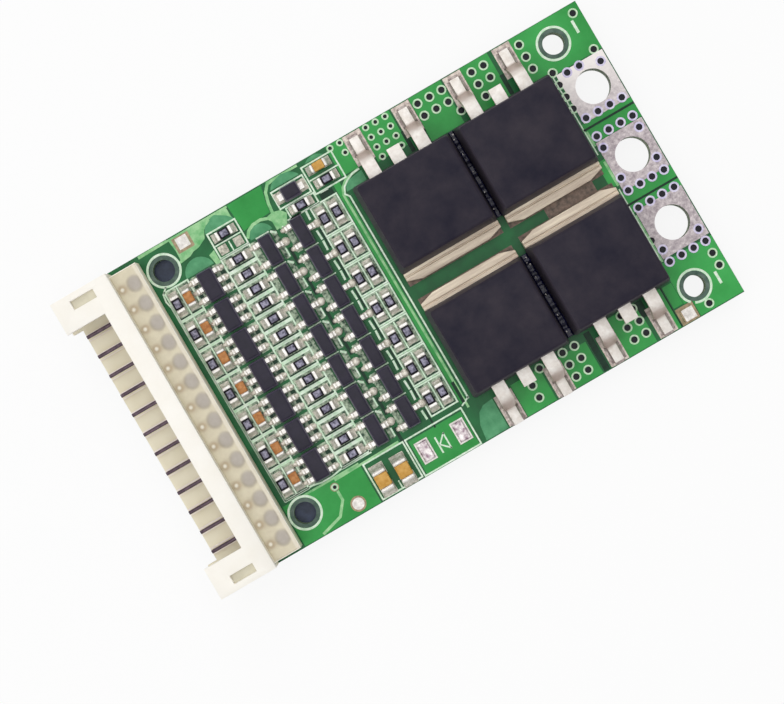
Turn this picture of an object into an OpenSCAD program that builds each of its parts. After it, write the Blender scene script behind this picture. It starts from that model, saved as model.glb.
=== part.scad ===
// Battery management board: a circuit board with a fourteen-way side-entry balance header,
// seven identical cell circuits, four power transistors and three screw terminals.
// X runs from the header to the terminals, Y across the board and Z up from its underside.
// The origin is the centre of the four mounting holes, on the underside.

/* [Circuit board] */
// Length of the board, from the header's edge to the terminals' edge
board_l = 48.6; // [48:0.1:64]
// Width of the board
board_w = 30.2; // [30:0.1:42]
// Thickness of the laminate
board_t = 1.6; // [0.8:0.1:2.4]
// Thickness of the tinned copper pads
pad_t = 0.05; // [0.03:0.01:0.12]

/* [Mounting holes] */
// Diameter of the four mounting holes
mount_d = 2.0; // [1.6:0.1:2.4]
// Distance of the header-side holes from the board's end
mount_in_header = 4.55; // [4.4:0.05:4.8]
// Distance of the terminal-side holes from the board's end
mount_in_terminal = 3.6; // [2.6:0.05:4]
// Distance of the holes from the upper long edge
mount_in_upper = 2.35; // [2:0.05:3]
// Distance of the holes from the lower long edge
mount_in_lower = 2.7; // [2:0.05:3]

/* [Terminals] */
// Diameter of the three terminal holes
terminal_d = 3.2; // [2.5:0.1:3.6]
// Distance between neighbouring terminal holes
terminal_pitch = 7.05; // [6:0.05:7.6]
// Distance of the terminal holes from the board's end
terminal_in = 2.45; // [2:0.05:3]
// Height of the middle terminal above the board's centre line
terminal_mid = 0.6; // [-1:0.1:1]
// Length of a terminal pad
terminal_pad_l = 4.75; // [4:0.05:5]
// Width of a terminal pad
terminal_pad_w = 5; // [4:0.1:5.6]
// Bare rim between a pad and the board's edge
pad_rim = 0.1; // [0:0.05:0.3]

/* [Plated vias] */
// Diameter of a wide via
via_d = 0.6; // [0.4:0.05:0.7]
// Width of the tinned ring round a wide via
via_ring = 0.15; // [0.1:0.01:0.2]
// Distance between neighbouring wide vias
via_pitch = 1.235; // [1.2:0.005:1.25]
// Diameter of a fine via
fine_via_d = 0.35; // [0.25:0.05:0.4]
// Width of the tinned ring round a fine via
fine_via_ring = 0.15; // [0.08:0.01:0.18]
// Distance between neighbouring fine vias
fine_via_pitch = 1; // [0.9:0.01:1.05]

/* [Header] */
// Number of contacts
pins = 14; // [4:1:14]
// Distance between neighbouring contacts
pin_pitch = 2; // [1.5:0.05:2]
// Height of a flat contact, seen from the side
pin_w = 0.5; // [0.4:0.05:0.6]
// Thickness of a flat contact
pin_t = 0.32; // [0.25:0.01:0.5]
// Height of the contacts' centre line above the board
pin_z = 2.4; // [2.2:0.05:2.8]
// Length of a contact's tail below the housing
tail_l = 3.4; // [2.8:0.1:4]
// Clearance on each side of a contact in the moulding
pin_gap = 0.02; // [0.01:0.01:0.06]
// Distance of the row of solder tails from the board's edge
row_in = 1.6; // [1.2:0.05:1.8]
// Offset of the header from the board's centre line
header_shift = -0.15; // [-0.3:0.05:0.3]
// Length of housing past the end contacts
housing_end = 1.95; // [1.6:0.05:2.2]
// Height of the housing above the board
housing_h = 4.8; // [4.4:0.1:6]
// Reach of the two guide ears in front of the row of tails
ear_reach = 6.9; // [6.4:0.1:8]
// Width of each guide ear
ear_w = 3.05; // [2.6:0.05:3.4]
// Reach of the socket floor in front of the row of tails
floor_reach = 5.95; // [5.6:0.05:6.2]
// Reach of the roof between the ears in front of the row of tails
roof_reach = 3.1; // [2.6:0.1:3.6]
// Distance from the row of tails forward to the back of the rear wall
wall_back = 1.35; // [1.1:0.05:1.5]
// Thickness of the rear wall
wall_t = 0.8; // [0.6:0.05:1]
// Thickness of the socket floor
floor_t = 0.8; // [0.6:0.05:1]
// Thickness of the roof
roof_t = 0.7; // [0.5:0.05:0.9]
// Thickness of the end walls
end_wall_t = 0.6; // [0.4:0.05:0.8]
// Length of the locking slot in each ear
slot_l = 2.3; // [1.8:0.1:2.6]
// Width of the locking slot in each ear
slot_w = 0.85; // [0.6:0.05:1]
// Depth of the locking slot
slot_deep = 0.4; // [0.2:0.05:0.45]
// Distance from the ear's front to its locking slot
slot_in = 1.65; // [1.4:0.05:1.8]
// Height of the rear block, which covers the contacts behind the rear wall
rear_h = 3.2; // [2.9:0.1:4]
// Reach of the rear block behind the row of tails
rear_reach = 1.3; // [1.1:0.05:1.5]
// Setback of the rear block at each end
rear_inset = 0.35; // [0.1:0.05:0.6]

/* [Power transistors] */
// Width of the moulded body
fet_w = 9.9; // [9.4:0.05:10.1]
// Length of the moulded body
fet_l = 8.95; // [8.4:0.05:9.2]
// Height of the moulded body
fet_h = 4.4; // [4:0.1:5.4]
// Distance between the centre lines of neighbouring transistors
fet_pitch = 10.35; // [10.2:0.05:10.6]
// Distance of the second pair's centre line from the terminal end
fet_in = 10.55; // [10.5:0.05:11]
// Distance of the upper bodies' lead side from the upper edge
fet_in_upper = 4.55; // [4.2:0.05:4.6]
// Distance of the lower bodies' lead side from the lower edge
fet_in_lower = 4.05; // [4.05:0.05:4.3]
// Draft of the body's walls, as the inset of its top
fet_draft = 0.35; // [0.1:0.05:0.6]
// Thickness of the drain tab
tab_t = 1.27; // [1:0.05:1.5]
// Length of tab outside the body
tab_out = 1.15; // [0.9:0.05:1.3]
// Width of the tab outside the body
tab_w = 9.7; // [9:0.1:9.8]
// Width of the tab under the body
tab_inner_w = 8.4; // [7.6:0.1:8.8]
// Length of the tab under the body
tab_inner_l = 7; // [6:0.1:7.6]
// Distance of the groove across the tab from the body
groove_in = 0.3; // [0.2:0.05:0.5]
// Width of the groove
groove_w = 0.12; // [0.08:0.01:0.2]
// Depth of the groove
groove_deep = 0.1; // [0.05:0.01:0.2]
// Distance between neighbouring leads
lead_pitch = 2.54; // [2.4:0.02:2.6]
// Width of a lead at the body
lead_w = 1.27; // [1.1:0.01:1.4]
// Width of a lead's foot
foot_w = 0.9; // [0.7:0.05:1.1]
// Thickness of a lead
lead_t = 0.5; // [0.4:0.05:0.6]
// Height of a lead's top where it leaves the body
lead_z = 2.9; // [2.6:0.05:3.2]
// Depth of a lead's root inside the body
lead_root = 1; // [0.6:0.1:1.4]
// Length of the cut middle lead
stub_l = 1.3; // [0.8:0.05:1.6]
// Distance from the body to the tip of a foot
lead_out = 3.95; // [3.6:0.05:3.95]
// Distance from the body to a lead's first bend
lead_bend = 1.35; // [1.1:0.05:1.5]
// Length of a foot
foot_l = 1.65; // [1.4:0.05:1.8]

/* [Cell circuits] */
// Number of identical cell circuits
cells = 7; // [3:1:7]
// Distance between neighbouring cell circuits
cell_pitch = 3.115; // [3.1:0.005:3.13]
// Height of the middle cell circuit above the board's centre line
cells_mid = 0.17; // [-0.2:0.01:0.4]
// Length of a small outline package
chip_l = 2.9; // [2.6:0.05:3]
// Width of a six-lead package
chip6_w = 1.6; // [1.4:0.05:1.7]
// Width of a three-lead package
chip3_w = 1.3; // [1.2:0.05:1.4]
// Height of a small outline package
chip_h = 1.15; // [0.9:0.05:1.4]
// Gap under a small outline package
chip_lift = 0.08; // [0.02:0.01:0.15]
// Distance between neighbouring chip leads
chip_lead_pitch = 0.95; // [0.9:0.01:1]
// Width of a chip lead
chip_lead_w = 0.4; // [0.3:0.05:0.5]
// Thickness of a chip lead
chip_lead_t = 0.15; // [0.1:0.01:0.2]
// Length of a chip lead outside its package
chip_lead_out = 0.6; // [0.5:0.05:0.65]

/* [Chip resistors and capacitors] */
// Length of a small resistor or capacitor
small_l = 1.6; // [1.4:0.05:1.7]
// Width of a small resistor or capacitor
small_w = 0.8; // [0.7:0.02:0.86]
// Height of a small resistor
resistor_h = 0.45; // [0.35:0.05:0.6]
// Height of a small capacitor
capacitor_h = 0.8; // [0.6:0.05:0.9]
// Length of a metal end on a small part
small_end = 0.3; // [0.2:0.02:0.4]
// Length of a reservoir capacitor
large_l = 2.05; // [1.8:0.05:2.2]
// Width of a reservoir capacitor
large_w = 1.3; // [1.1:0.05:1.4]
// Height of a reservoir capacitor
large_h = 1.25; // [0.8:0.05:1.4]
// Length of a metal end on a reservoir capacitor
large_end = 0.4; // [0.3:0.02:0.5]

/* [Hidden] */

$fn = 48;
// Overlap that lets a cutter break through a face
eps = 0.05;
// Height on which every soldered part stands
deck = board_t + pad_t;

// Distances between the mounting holes, whose centre is the origin
mount_span_x = board_l - mount_in_header - mount_in_terminal;
mount_span_y = board_w - mount_in_upper - mount_in_lower;

// Places are measured from the board's edges, or up from its lengthwise centre line
function from_header(x) = -mount_span_x / 2 - mount_in_header + x;
function from_terminal(x) = mount_span_x / 2 + mount_in_terminal - x;
function from_upper(y) = mount_span_y / 2 + mount_in_upper - y;
function from_lower(y) = -mount_span_y / 2 - mount_in_lower + y;
function from_middle(y) = from_lower(board_w / 2 + y);

MOUNTS = [for (x = [-1, 1] * mount_span_x / 2, y = [-1, 1] * mount_span_y / 2) [x, y]];
TERMINALS = [for (k = [1, 0, -1])
    [from_terminal(terminal_in), from_middle(terminal_mid + k * terminal_pitch)]];

// Blocks of vias: the first place as distances from two edges, then the counts along X and Y
function via_block(x, y, nx, ny, pitch) =
    [for (i = [0:nx - 1], j = [0:ny - 1]) [x + i * pitch, y - j * pitch]];
VIAS_AT_UPPER_EDGE = [[6.33, 0.9, 1, 3], [0.74, 0.87, 1, 1], [0.74, 4.6, 1, 2], [3.85, 5.22, 2, 1],
    [5, 4.6, 1, 4], [16.85, 0.87, 3, 2], [13.75, 3.35, 1, 1], [11.2, 3.35, 1, 1], [11.25, 0.87, 2, 2]];
VIAS_AT_LOWER_EDGE = [[3.25, 0.7, 1, 1], [16.87, 3.47, 2, 3], [10.7, 3.72, 2, 3],
    [20.68, 2.29, 1, 2], [19.35, 3.3, 1, 1]];
VIAS_AT_TERMINALS = [[4.44, 5.5, 4, 1], [4.44, 3.6, 4, 1], [4.44, 2.42, 1, 1], [0.735, 2.42, 1, 1],
    [4.44, -0.7, 1, 1], [0.735, -0.7, 1, 1], [4.44, -2, 4, 1], [4.44, -3.8, 4, 1],
    [4.9, -6.95, 1, 1], [4.44, -8.15, 1, 1], [0.735, -8.15, 1, 1], [4.44, -9.4, 4, 1],
    [0.735, -10.65, 1, 2]];
FINE_VIA_BLOCKS = [[25.65, 0.37, 2, 1], [24.65, 1.37, 1, 1], [21.95, 0.37, 3, 3],
    [21.95, 3.37, 1, 1], [19.95, 3.37, 1, 1]];
VIAS = concat(
    [for (b = VIAS_AT_UPPER_EDGE)
        each via_block(from_terminal(b[0]), from_upper(b[1]), b[2], b[3], via_pitch)],
    [for (b = VIAS_AT_LOWER_EDGE)
        each via_block(from_terminal(b[0]), from_lower(b[1]), b[2], b[3], via_pitch)],
    [for (b = VIAS_AT_TERMINALS)
        each via_block(from_terminal(b[0]), from_middle(b[1]), b[2], b[3], via_pitch)]);
FINE_VIAS = concat([[from_header(8), from_lower(3.35)]],
    [for (b = FINE_VIA_BLOCKS)
        each via_block(from_terminal(b[0]), from_upper(b[1]), b[2], b[3], fine_via_pitch)]);

// Row of solder tails and the housing round it
row_x = from_header(row_in);
row_y = from_middle(header_shift);
PIN_Y = [for (k = [0:pins - 1]) row_y + (pins - 1 - 2 * k) / 2 * pin_pitch];
housing_l = (pins - 1) * pin_pitch + 2 * housing_end;
tail_hole_d = pin_w * sqrt(2) + 0.2;
bend_r = 0.2;
// Bevelled tip of a contact, just short of the socket floor's front
tip_in = 0.15;
tip_l = 0.35;
// Solder cones under the board end just short of each other
cone_r = pin_pitch * 0.425;
cone_h = 0.7;
crown_r = 0.48;
crown_h = 0.35;
collar_r = pin_w * 0.75;

// Transistor places: centre, side that the leads leave and the small skew of each seat
FET_X = from_terminal(fet_in);
FETS = [
    [[FET_X - fet_pitch + 0.05, from_upper(fet_in_upper)], 1],
    [[FET_X + 0.12, from_upper(fet_in_upper)], 1],
    [[FET_X - fet_pitch + 0.07, from_lower(fet_in_lower - 0.1)], -1],
    [[FET_X + 0.3, from_lower(fet_in_lower + 0.2)], -1]];
tab_corner = [1.4, 0.45];
drain_rim = 0.1;
lead_r = 0.35;
lead_steps = 5;
lead_pad_w = 1.8;
lead_pad_l = 3;
// Bare copper between the drains of the second pair
strip_w = 5;
strip_shift = -1.3;

// Lines on which the cell circuits and their columns of parts stand
CELL_Y = [for (k = [0:cells - 1]) from_middle(cells_mid + (cells - 1 - 2 * k) / 2 * cell_pitch)];
supply_x = from_header(4.1);
filter_x = from_header(5.3);
monitor_x = from_header(7.58);
divider_x = from_header(10.9);
inner_x = from_header(13.78);
outer_x = from_header(17.05);
BLEED_X = [from_header(19.35), from_header(20.65)];
DIVIDERS = [for (y = CELL_Y, side = [1, -1]) [divider_x, y + side * cell_pitch / 4]];
BLEEDS = [for (x = BLEED_X, y = CELL_Y) [x, y]];
chip_draft = 0.12;
chip_pad_rim = 0.1;

// Pads of the two-ended parts: where they start from the middle, and their reach and width
pad_start = 0.36;
small_pads = [1.2, 0.85];
clamp_pads = [1.6, 1.1];
large_pads = [1.55, 1.4];

// Single parts along the upper edge
LOGIC = [[from_header(10.9), from_upper(2.15)], [from_header(18.15), from_upper(3.45)],
    [from_header(21.3), from_upper(2.57)]];
TIMING = [from_header(21.25), from_upper(1.2)];
CLAMP = [from_header(17.95), from_upper(1.95)];
SPARE = [from_header(10.9), from_upper(3.4)];
clamp_body = [1.7, 1.4, 1.1];
clamp_lead = [0.45, 0.6, 0.2];

// Parts along the lower edge
RESERVOIR = [[from_header(12.1), from_lower(1.75)], [from_header(14.15), from_lower(1.6)]];
OPEN_DIODE = [[from_header(16.7), from_lower(2.05)], [from_header(20.35), from_lower(2)]];
open_pad = [1.35, 2.15];
bead_h = 0.22;
bead_slope = 0.25;
SQUARE_TEST = [[from_header(7.3), from_upper(0.95)], [from_terminal(5.28), from_lower(0.8)]];
ROUND_TEST = [from_header(9.1), from_lower(1)];
test_w = 1.1;

// ---- Board and pads ----

module round_holes(places, d) {
    for (place = places)
        translate(place)
            circle(d = d);
}

module via_holes() {
    round_holes(VIAS, via_d);
    round_holes(FINE_VIAS, fine_via_d);
}

module circuit_board() {
    color([0.1, 0.5, 0.2])
        linear_extrude(board_t)
            difference() {
                translate([from_header(0), from_lower(0)])
                    square([board_l, board_w]);
                round_holes(MOUNTS, mount_d);
                round_holes(TERMINALS, terminal_d);
                round_holes([for (y = PIN_Y) [row_x, y]], tail_hole_d);
                via_holes();
            }
}

// A terminal pad reaches the board's end
module terminal_squares() {
    for (place = TERMINALS)
        translate([from_terminal(pad_rim + terminal_pad_l), place[1] - terminal_pad_w / 2])
            square([terminal_pad_l, terminal_pad_w]);
}

module terminal_pad_shapes() {
    difference() {
        terminal_squares();
        round_holes(TERMINALS, terminal_d);
        via_holes();
    }
}

module terminal_pads_upper_side() {
    color([0.72, 0.67, 0.7])
        translate([0, 0, board_t])
            linear_extrude(pad_t)
                terminal_pad_shapes();
}

module terminal_pads_underside() {
    color([0.72, 0.67, 0.7])
        translate([0, 0, -pad_t])
            linear_extrude(pad_t)
                terminal_pad_shapes();
}

module flat_pad(place, size) {
    translate(place)
        square(size, center = true);
}

module lead_pads() {
    foot_in = pad_rim + lead_pad_l / 2;
    for (fet = FETS, side = [-1, 1])
        flat_pad([fet[0][0] + side * lead_pitch, fet[1] > 0 ? from_upper(foot_in) : from_lower(foot_in)],
            [lead_pad_w, lead_pad_l]);
}

module transistor_pads() {
    drain_l = tab_out + tab_inner_l + drain_rim;
    strip_from = FETS[3][0][1] + fet_l + tab_out;
    strip_to = FETS[1][0][1] - fet_l - tab_out;
    color([0.7, 0.62, 0.56])
        translate([0, 0, board_t])
            linear_extrude(pad_t) {
                lead_pads();
                for (fet = FETS)
                    flat_pad(fet[0] - [0, fet[1] * (fet_l + tab_out + drain_rim - drain_l / 2)],
                        [tab_w, drain_l]);
                translate([FET_X + strip_shift, strip_from])
                    square([strip_w, strip_to - strip_from]);
            }
}

// Tinned rings round the vias, cut back where they meet a terminal pad or a lead pad
module via_rings() {
    color([0.75, 0.8, 0.68])
        translate([0, 0, board_t])
            linear_extrude(pad_t)
                difference() {
                    union() {
                        round_holes(VIAS, via_d + 2 * via_ring);
                        round_holes(FINE_VIAS, fine_via_d + 2 * fine_via_ring);
                    }
                    via_holes();
                    terminal_squares();
                    lead_pads();
                }
}

// Two pads side by side under one part, or one above the other where the part is upright
module two_pads(place, size, upright = false) {
    pad_l = size[0] - pad_start;
    translate(place)
        rotate(upright ? 90 : 0)
            for (side = [-1, 1])
                flat_pad([side * (pad_start + pad_l / 2), 0], [pad_l, size[1]]);
}

// Pads along both long sides of a package, at the numbered lead places
module chip_pads(place, w, left, right) {
    pad_l = chip_lead_out + 1.5 * chip_pad_rim;
    for (side = [-1, 1], k = side < 0 ? left : right)
        flat_pad(place + [side * (w + pad_l) / 2, k * chip_lead_pitch],
            [pad_l, chip_lead_w + 2 * chip_pad_rim]);
}

module component_pads() {
    color([0.8, 0.78, 0.72])
        translate([0, 0, board_t])
            linear_extrude(pad_t) {
                for (y = CELL_Y) {
                    two_pads([supply_x, y], small_pads, upright = true);
                    two_pads([filter_x, y], small_pads, upright = true);
                    chip_pads([monitor_x, y], chip6_w, [-1, 0, 1], [-1, 0, 1]);
                    chip_pads([inner_x, y], chip3_w, [-1, 1], [0]);
                    chip_pads([outer_x, y], chip3_w, [-1, 1], [0]);
                }
                for (place = BLEEDS)
                    two_pads(place, small_pads, upright = true);
                for (place = concat(DIVIDERS, LOGIC, [TIMING, SPARE]))
                    two_pads(place, small_pads);
                two_pads(CLAMP, clamp_pads);
                for (place = RESERVOIR)
                    two_pads(place, large_pads, upright = true);
            }
}

module test_pads() {
    color([0.8, 0.78, 0.76])
        translate([0, 0, board_t])
            linear_extrude(pad_t) {
                for (place = SQUARE_TEST)
                    flat_pad(place, [test_w, test_w]);
                translate(ROUND_TEST)
                    circle(d = test_w);
            }
}

// Two pads for a diode that is not fitted, each with a low bead of solder
module open_diode_pads() {
    color([0.8, 0.74, 0.76])
        for (place = OPEN_DIODE)
            translate([place[0], place[1], board_t])
                crowned_block(open_pad[0], open_pad[1], bead_h, bead_slope);
}

// Block whose four walls lean in by inset towards the top, over the upper part of its height
module crowned_block(l, w, h, inset, base = 0) {
    intersection() {
        rotate([90, 0, 0])
            linear_extrude(w, center = true)
                drafted_profile(l, h, inset, base);
        rotate([90, 0, 90])
            linear_extrude(l, center = true)
                drafted_profile(w, h, inset, base);
    }
}

module drafted_profile(w, h, inset, base) {
    polygon([[-w / 2, 0], [w / 2, 0], [w / 2, base], [w / 2 - inset, h],
        [-w / 2 + inset, h], [-w / 2, base]]);
}

// ---- Side-entry header ----

// Housing without its holes: the socket shell with its guide ears, and the rear block
module housing_solid() {
    translate([row_x, row_y, board_t]) {
        translate([-ear_reach, -housing_l / 2, 0])
            cube([ear_reach - wall_back, housing_l, housing_h]);
        translate([-wall_back - eps, -housing_l / 2 + rear_inset, 0])
            cube([wall_back + rear_reach + eps, housing_l - 2 * rear_inset, rear_h]);
    }
}

// Socket, the window between the ears and the locking slots
module socket_cuts() {
    inner_l = housing_l - 2 * end_wall_t;
    window_l = housing_l - 2 * ear_w;
    socket_reach = ear_reach - wall_back - wall_t;
    slot_y = housing_l / 2 - end_wall_t - slot_w / 2;
    translate([row_x, row_y, board_t]) {
        translate([-ear_reach - eps, -inner_l / 2, floor_t])
            cube([socket_reach + eps, inner_l, housing_h - floor_t - roof_t]);
        translate([-ear_reach - eps, -window_l / 2, floor_t])
            cube([ear_reach - roof_reach + eps, window_l, housing_h]);
        translate([-ear_reach - eps, -window_l / 2, -eps])
            cube([ear_reach - floor_reach + eps, window_l, housing_h]);
        for (side = [-1, 1])
            translate([slot_in - ear_reach, side * slot_y - slot_w / 2, housing_h - slot_deep])
                cube([slot_l, slot_w, slot_deep + eps]);
    }
}

// Channels in the rear block for one contact: along it, down to the board and round its solder
module contact_channel() {
    bore_w = pin_w + 2 * pin_gap;
    bore_t = pin_t + 2 * pin_gap;
    translate([-ear_reach, -bore_t / 2, pin_z - bore_w / 2])
        cube([ear_reach + bore_w / 2, bore_t, bore_w]);
    translate([-bend_r - pin_w / 2, -bore_t / 2, -eps])
        cube([bend_r + pin_w / 2 + bore_w / 2, bore_t, pin_z]);
    translate([0, 0, -eps])
        cylinder(r = crown_r + pin_gap, h = crown_h + pin_gap + eps);
}

module header_housing() {
    color([0.95, 0.92, 0.84])
        difference() {
            housing_solid();
            socket_cuts();
            for (y = PIN_Y)
                translate([row_x, y, board_t])
                    contact_channel();
        }
}

// Side view of a contact: a tapered tip, the straight run, one bend and the tail
module pin_profile(w) {
    tip_x = tip_in - floor_reach;
    r_out = bend_r + w;
    polygon([[tip_x, -w / 4], [tip_x + tip_l, -w / 2], [-bend_r - w / 2, -w / 2],
        [-bend_r - w / 2, w / 2], [tip_x + tip_l, w / 2], [tip_x, w / 4]]);
    intersection() {
        translate([-bend_r - w / 2, -bend_r - w / 2])
            difference() {
                circle(r = r_out);
                circle(r = bend_r);
            }
        translate([-bend_r - w / 2, -bend_r - w / 2])
            square(r_out);
    }
    translate([-w / 2, -pin_z - tail_l])
        square([w, pin_z + tail_l - bend_r - w / 2]);
}

module header_pins() {
    color([0.78, 0.72, 0.66])
        for (y = PIN_Y)
            translate([row_x, y, board_t + pin_z])
                rotate([90, 0, 0])
                    linear_extrude(pin_t, center = true)
                        pin_profile(pin_w);
}

// Solder that fills one plated hole, with a low crown above and a cone below
module header_solder_joints() {
    hole_r = tail_hole_d / 2;
    color([0.66, 0.62, 0.64])
        for (y = PIN_Y)
            translate([row_x, y, 0])
                difference() {
                    rotate_extrude()
                        polygon([[0, -cone_h], [collar_r, -cone_h], [cone_r, 0], [hole_r, 0],
                            [hole_r, board_t], [crown_r, board_t], [collar_r, board_t + crown_h],
                            [0, board_t + crown_h]]);
                    translate([-pin_w / 2, -pin_t / 2, -tail_l])
                        cube([pin_w, pin_t, 3 * tail_l]);
                }
}

// ---- Power transistors ----

// Places its children at one transistor: the lead side at y = 0 and the leads along +Y
module at_fet(k) {
    translate([FETS[k][0][0], FETS[k][0][1], deck])
        rotate(FETS[k][1] > 0 ? 0 : 180)
            children();
}

// Plan of the tab: the wide part outside the body with cut corners, the narrow part under it
module tab_plan() {
    polygon([[-tab_w / 2, -fet_l], [-tab_w / 2, -fet_l - tab_out + tab_corner[1]],
        [-tab_w / 2 + tab_corner[0], -fet_l - tab_out], [tab_w / 2 - tab_corner[0], -fet_l - tab_out],
        [tab_w / 2, -fet_l - tab_out + tab_corner[1]], [tab_w / 2, -fet_l]]);
    translate([-tab_inner_w / 2, -fet_l - eps])
        square([tab_inner_w, tab_inner_l + eps]);
}

// Drain tab with a shallow groove pressed across it next to the body
module fet_tab() {
    color([0.8, 0.74, 0.66])
        difference() {
            linear_extrude(tab_t)
                tab_plan();
            translate([-tab_w / 2 - eps, -fet_l - groove_in - groove_w, tab_t - groove_deep])
                cube([tab_w + 2 * eps, groove_w, groove_deep + eps]);
        }
}

// Points of an arc round centre c
function arc(c, r, from, to) =
    [for (k = [0:lead_steps]) c + r * [cos(from + (to - from) * k / lead_steps),
        sin(from + (to - from) * k / lead_steps)]];

// Side view of an outer lead: root in the body, rounded knee, slope, rounded heel and foot.
// The two bends turn by the same angle, which makes the slope's faces lead_t apart.
module lead_profile() {
    mid_drop = lead_z - lead_t;
    run = lead_out - foot_l - lead_bend;
    turn = atan2(mid_drop, run);
    r_in = lead_r;
    r_out = lead_r + lead_t;
    cut = (r_in + lead_t / 2) * tan(turn / 2);
    knee = [lead_bend - cut, lead_z - r_out];
    heel = [lead_out - foot_l + cut, r_out];
    polygon(concat([[-lead_root, lead_z]], arc(knee, r_out, 90, 90 - turn),
        arc(heel, r_in, 270 - turn, 270), [[lead_out, lead_t], [lead_out, 0]],
        arc(heel, r_out, 270, 270 - turn), arc(knee, r_in, 90 - turn, 90),
        [[-lead_root, lead_z - lead_t]]));
}

// Plan of an outer lead, which is wide down to its foot
module lead_plan() {
    translate([-lead_w / 2, -lead_root])
        square([lead_w, lead_root + lead_out - foot_l]);
    translate([-foot_w / 2, 0])
        square([foot_w, lead_out]);
}

module outer_lead() {
    intersection() {
        rotate([90, 0, 90])
            linear_extrude(lead_w, center = true)
                lead_profile();
        linear_extrude(fet_h)
            lead_plan();
    }
}

module middle_lead() {
    translate([-lead_w / 2, -lead_root, lead_z - lead_t])
        cube([lead_w, lead_root + stub_l, lead_t]);
}

module fet_leads() {
    color([0.85, 0.82, 0.78]) {
        for (side = [-1, 1])
            translate([side * lead_pitch, 0, 0])
                outer_lead();
        middle_lead();
    }
}

// Moulded body, drafted above its parting line and cut to fit its tab and leads
module fet_body() {
    color([0.17, 0.14, 0.2])
        difference() {
            translate([0, -fet_l / 2, 0])
                crowned_block(fet_w, fet_l, fet_h, fet_draft, tab_t);
            linear_extrude(tab_t)
                tab_plan();
            for (k = [-1, 0, 1])
                translate([k * lead_pitch - lead_w / 2, -lead_root, lead_z - lead_t])
                    cube([lead_w, lead_root + eps, lead_t]);
        }
}

module transistor_1_body() {
    at_fet(0)
        fet_body();
}

module transistor_1_tab() {
    at_fet(0)
        fet_tab();
}

module transistor_1_leads() {
    at_fet(0)
        fet_leads();
}

module transistor_2_body() {
    at_fet(1)
        fet_body();
}

module transistor_2_tab() {
    at_fet(1)
        fet_tab();
}

module transistor_2_leads() {
    at_fet(1)
        fet_leads();
}

module transistor_3_body() {
    at_fet(2)
        fet_body();
}

module transistor_3_tab() {
    at_fet(2)
        fet_tab();
}

module transistor_3_leads() {
    at_fet(2)
        fet_leads();
}

module transistor_4_body() {
    at_fet(3)
        fet_body();
}

module transistor_4_tab() {
    at_fet(3)
        fet_tab();
}

module transistor_4_leads() {
    at_fet(3)
        fet_leads();
}

// ---- Cell circuits ----

module at_cells(x) {
    for (y = CELL_Y)
        translate([x, y, deck])
            children();
}

// Small outline package with its long side along Y
module chip_body(w) {
    color([0.1, 0.09, 0.13])
        translate([0, 0, chip_lift])
            crowned_block(w, chip_l, chip_h - chip_lift, chip_draft, (chip_h - chip_lift) / 2);
}

// Side view of a chip lead that starts at the package wall and ends in a foot
module chip_lead_profile() {
    z = chip_h / 2;
    knee = chip_lead_out * 0.35;
    heel = chip_lead_out * 0.55;
    polygon([[0, z], [knee, z], [heel, 0], [chip_lead_out, 0], [chip_lead_out, chip_lead_t],
        [heel + chip_lead_t * 0.8, chip_lead_t], [knee + chip_lead_t * 0.6, z + chip_lead_t],
        [0, z + chip_lead_t]]);
}

module chip_leads(w, left, right) {
    color([0.86, 0.85, 0.84])
        for (side = [-1, 1], k = side < 0 ? left : right)
            translate([side * w / 2, k * chip_lead_pitch, 0])
                rotate(side < 0 ? 180 : 0)
                    rotate([90, 0, 0])
                        linear_extrude(chip_lead_w, center = true)
                            chip_lead_profile();
}

module monitor_chip_bodies() {
    at_cells(monitor_x)
        chip_body(chip6_w);
}

module monitor_chip_leads() {
    at_cells(monitor_x)
        chip_leads(chip6_w, [-1, 0, 1], [-1, 0, 1]);
}

module inner_transistor_bodies() {
    at_cells(inner_x)
        chip_body(chip3_w);
}

module inner_transistor_leads() {
    at_cells(inner_x)
        chip_leads(chip3_w, [-1, 1], [0]);
}

module outer_transistor_bodies() {
    at_cells(outer_x)
        chip_body(chip3_w);
}

module outer_transistor_leads() {
    at_cells(outer_x)
        chip_leads(chip3_w, [-1, 1], [0]);
}

// ---- Chip resistors and capacitors, with their long side along X ----

module part_core(l, w, h, end, shade) {
    color(shade)
        translate([-l / 2 + end, -w / 2, 0])
            cube([l - 2 * end, w, h]);
}

module part_ends(l, w, h, end) {
    color([0.88, 0.86, 0.84])
        for (side = [-1, 1])
            translate([side * (l - end) / 2 - end / 2, -w / 2, 0])
                cube([end, w, h]);
}

module resistor_core() {
    part_core(small_l, small_w, resistor_h, small_end, [0.14, 0.13, 0.16]);
}

module resistor_ends() {
    part_ends(small_l, small_w, resistor_h, small_end);
}

module capacitor_core() {
    part_core(small_l, small_w, capacitor_h, small_end, [0.75, 0.47, 0.22]);
}

module capacitor_ends() {
    part_ends(small_l, small_w, capacitor_h, small_end);
}

module upright() {
    rotate(90)
        children();
}

module supply_resistor_bodies() {
    at_cells(supply_x)
        upright()
            resistor_core();
}

module supply_resistor_ends() {
    at_cells(supply_x)
        upright()
            resistor_ends();
}

module filter_capacitor_bodies() {
    at_cells(filter_x)
        upright()
            capacitor_core();
}

module filter_capacitor_ends() {
    at_cells(filter_x)
        upright()
            capacitor_ends();
}

module divider_resistor_bodies() {
    at_places(DIVIDERS)
        resistor_core();
}

module divider_resistor_ends() {
    at_places(DIVIDERS)
        resistor_ends();
}

module bleed_resistor_bodies() {
    at_places(BLEEDS)
        upright()
        resistor_core();
}

module bleed_resistor_ends() {
    at_places(BLEEDS)
        upright()
        resistor_ends();
}

module at_places(places) {
    for (place = places)
        translate([place[0], place[1], deck])
            children();
}

module logic_resistor_bodies() {
    at_places(LOGIC)
        resistor_core();
}

module logic_resistor_ends() {
    at_places(LOGIC)
        resistor_ends();
}

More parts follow.
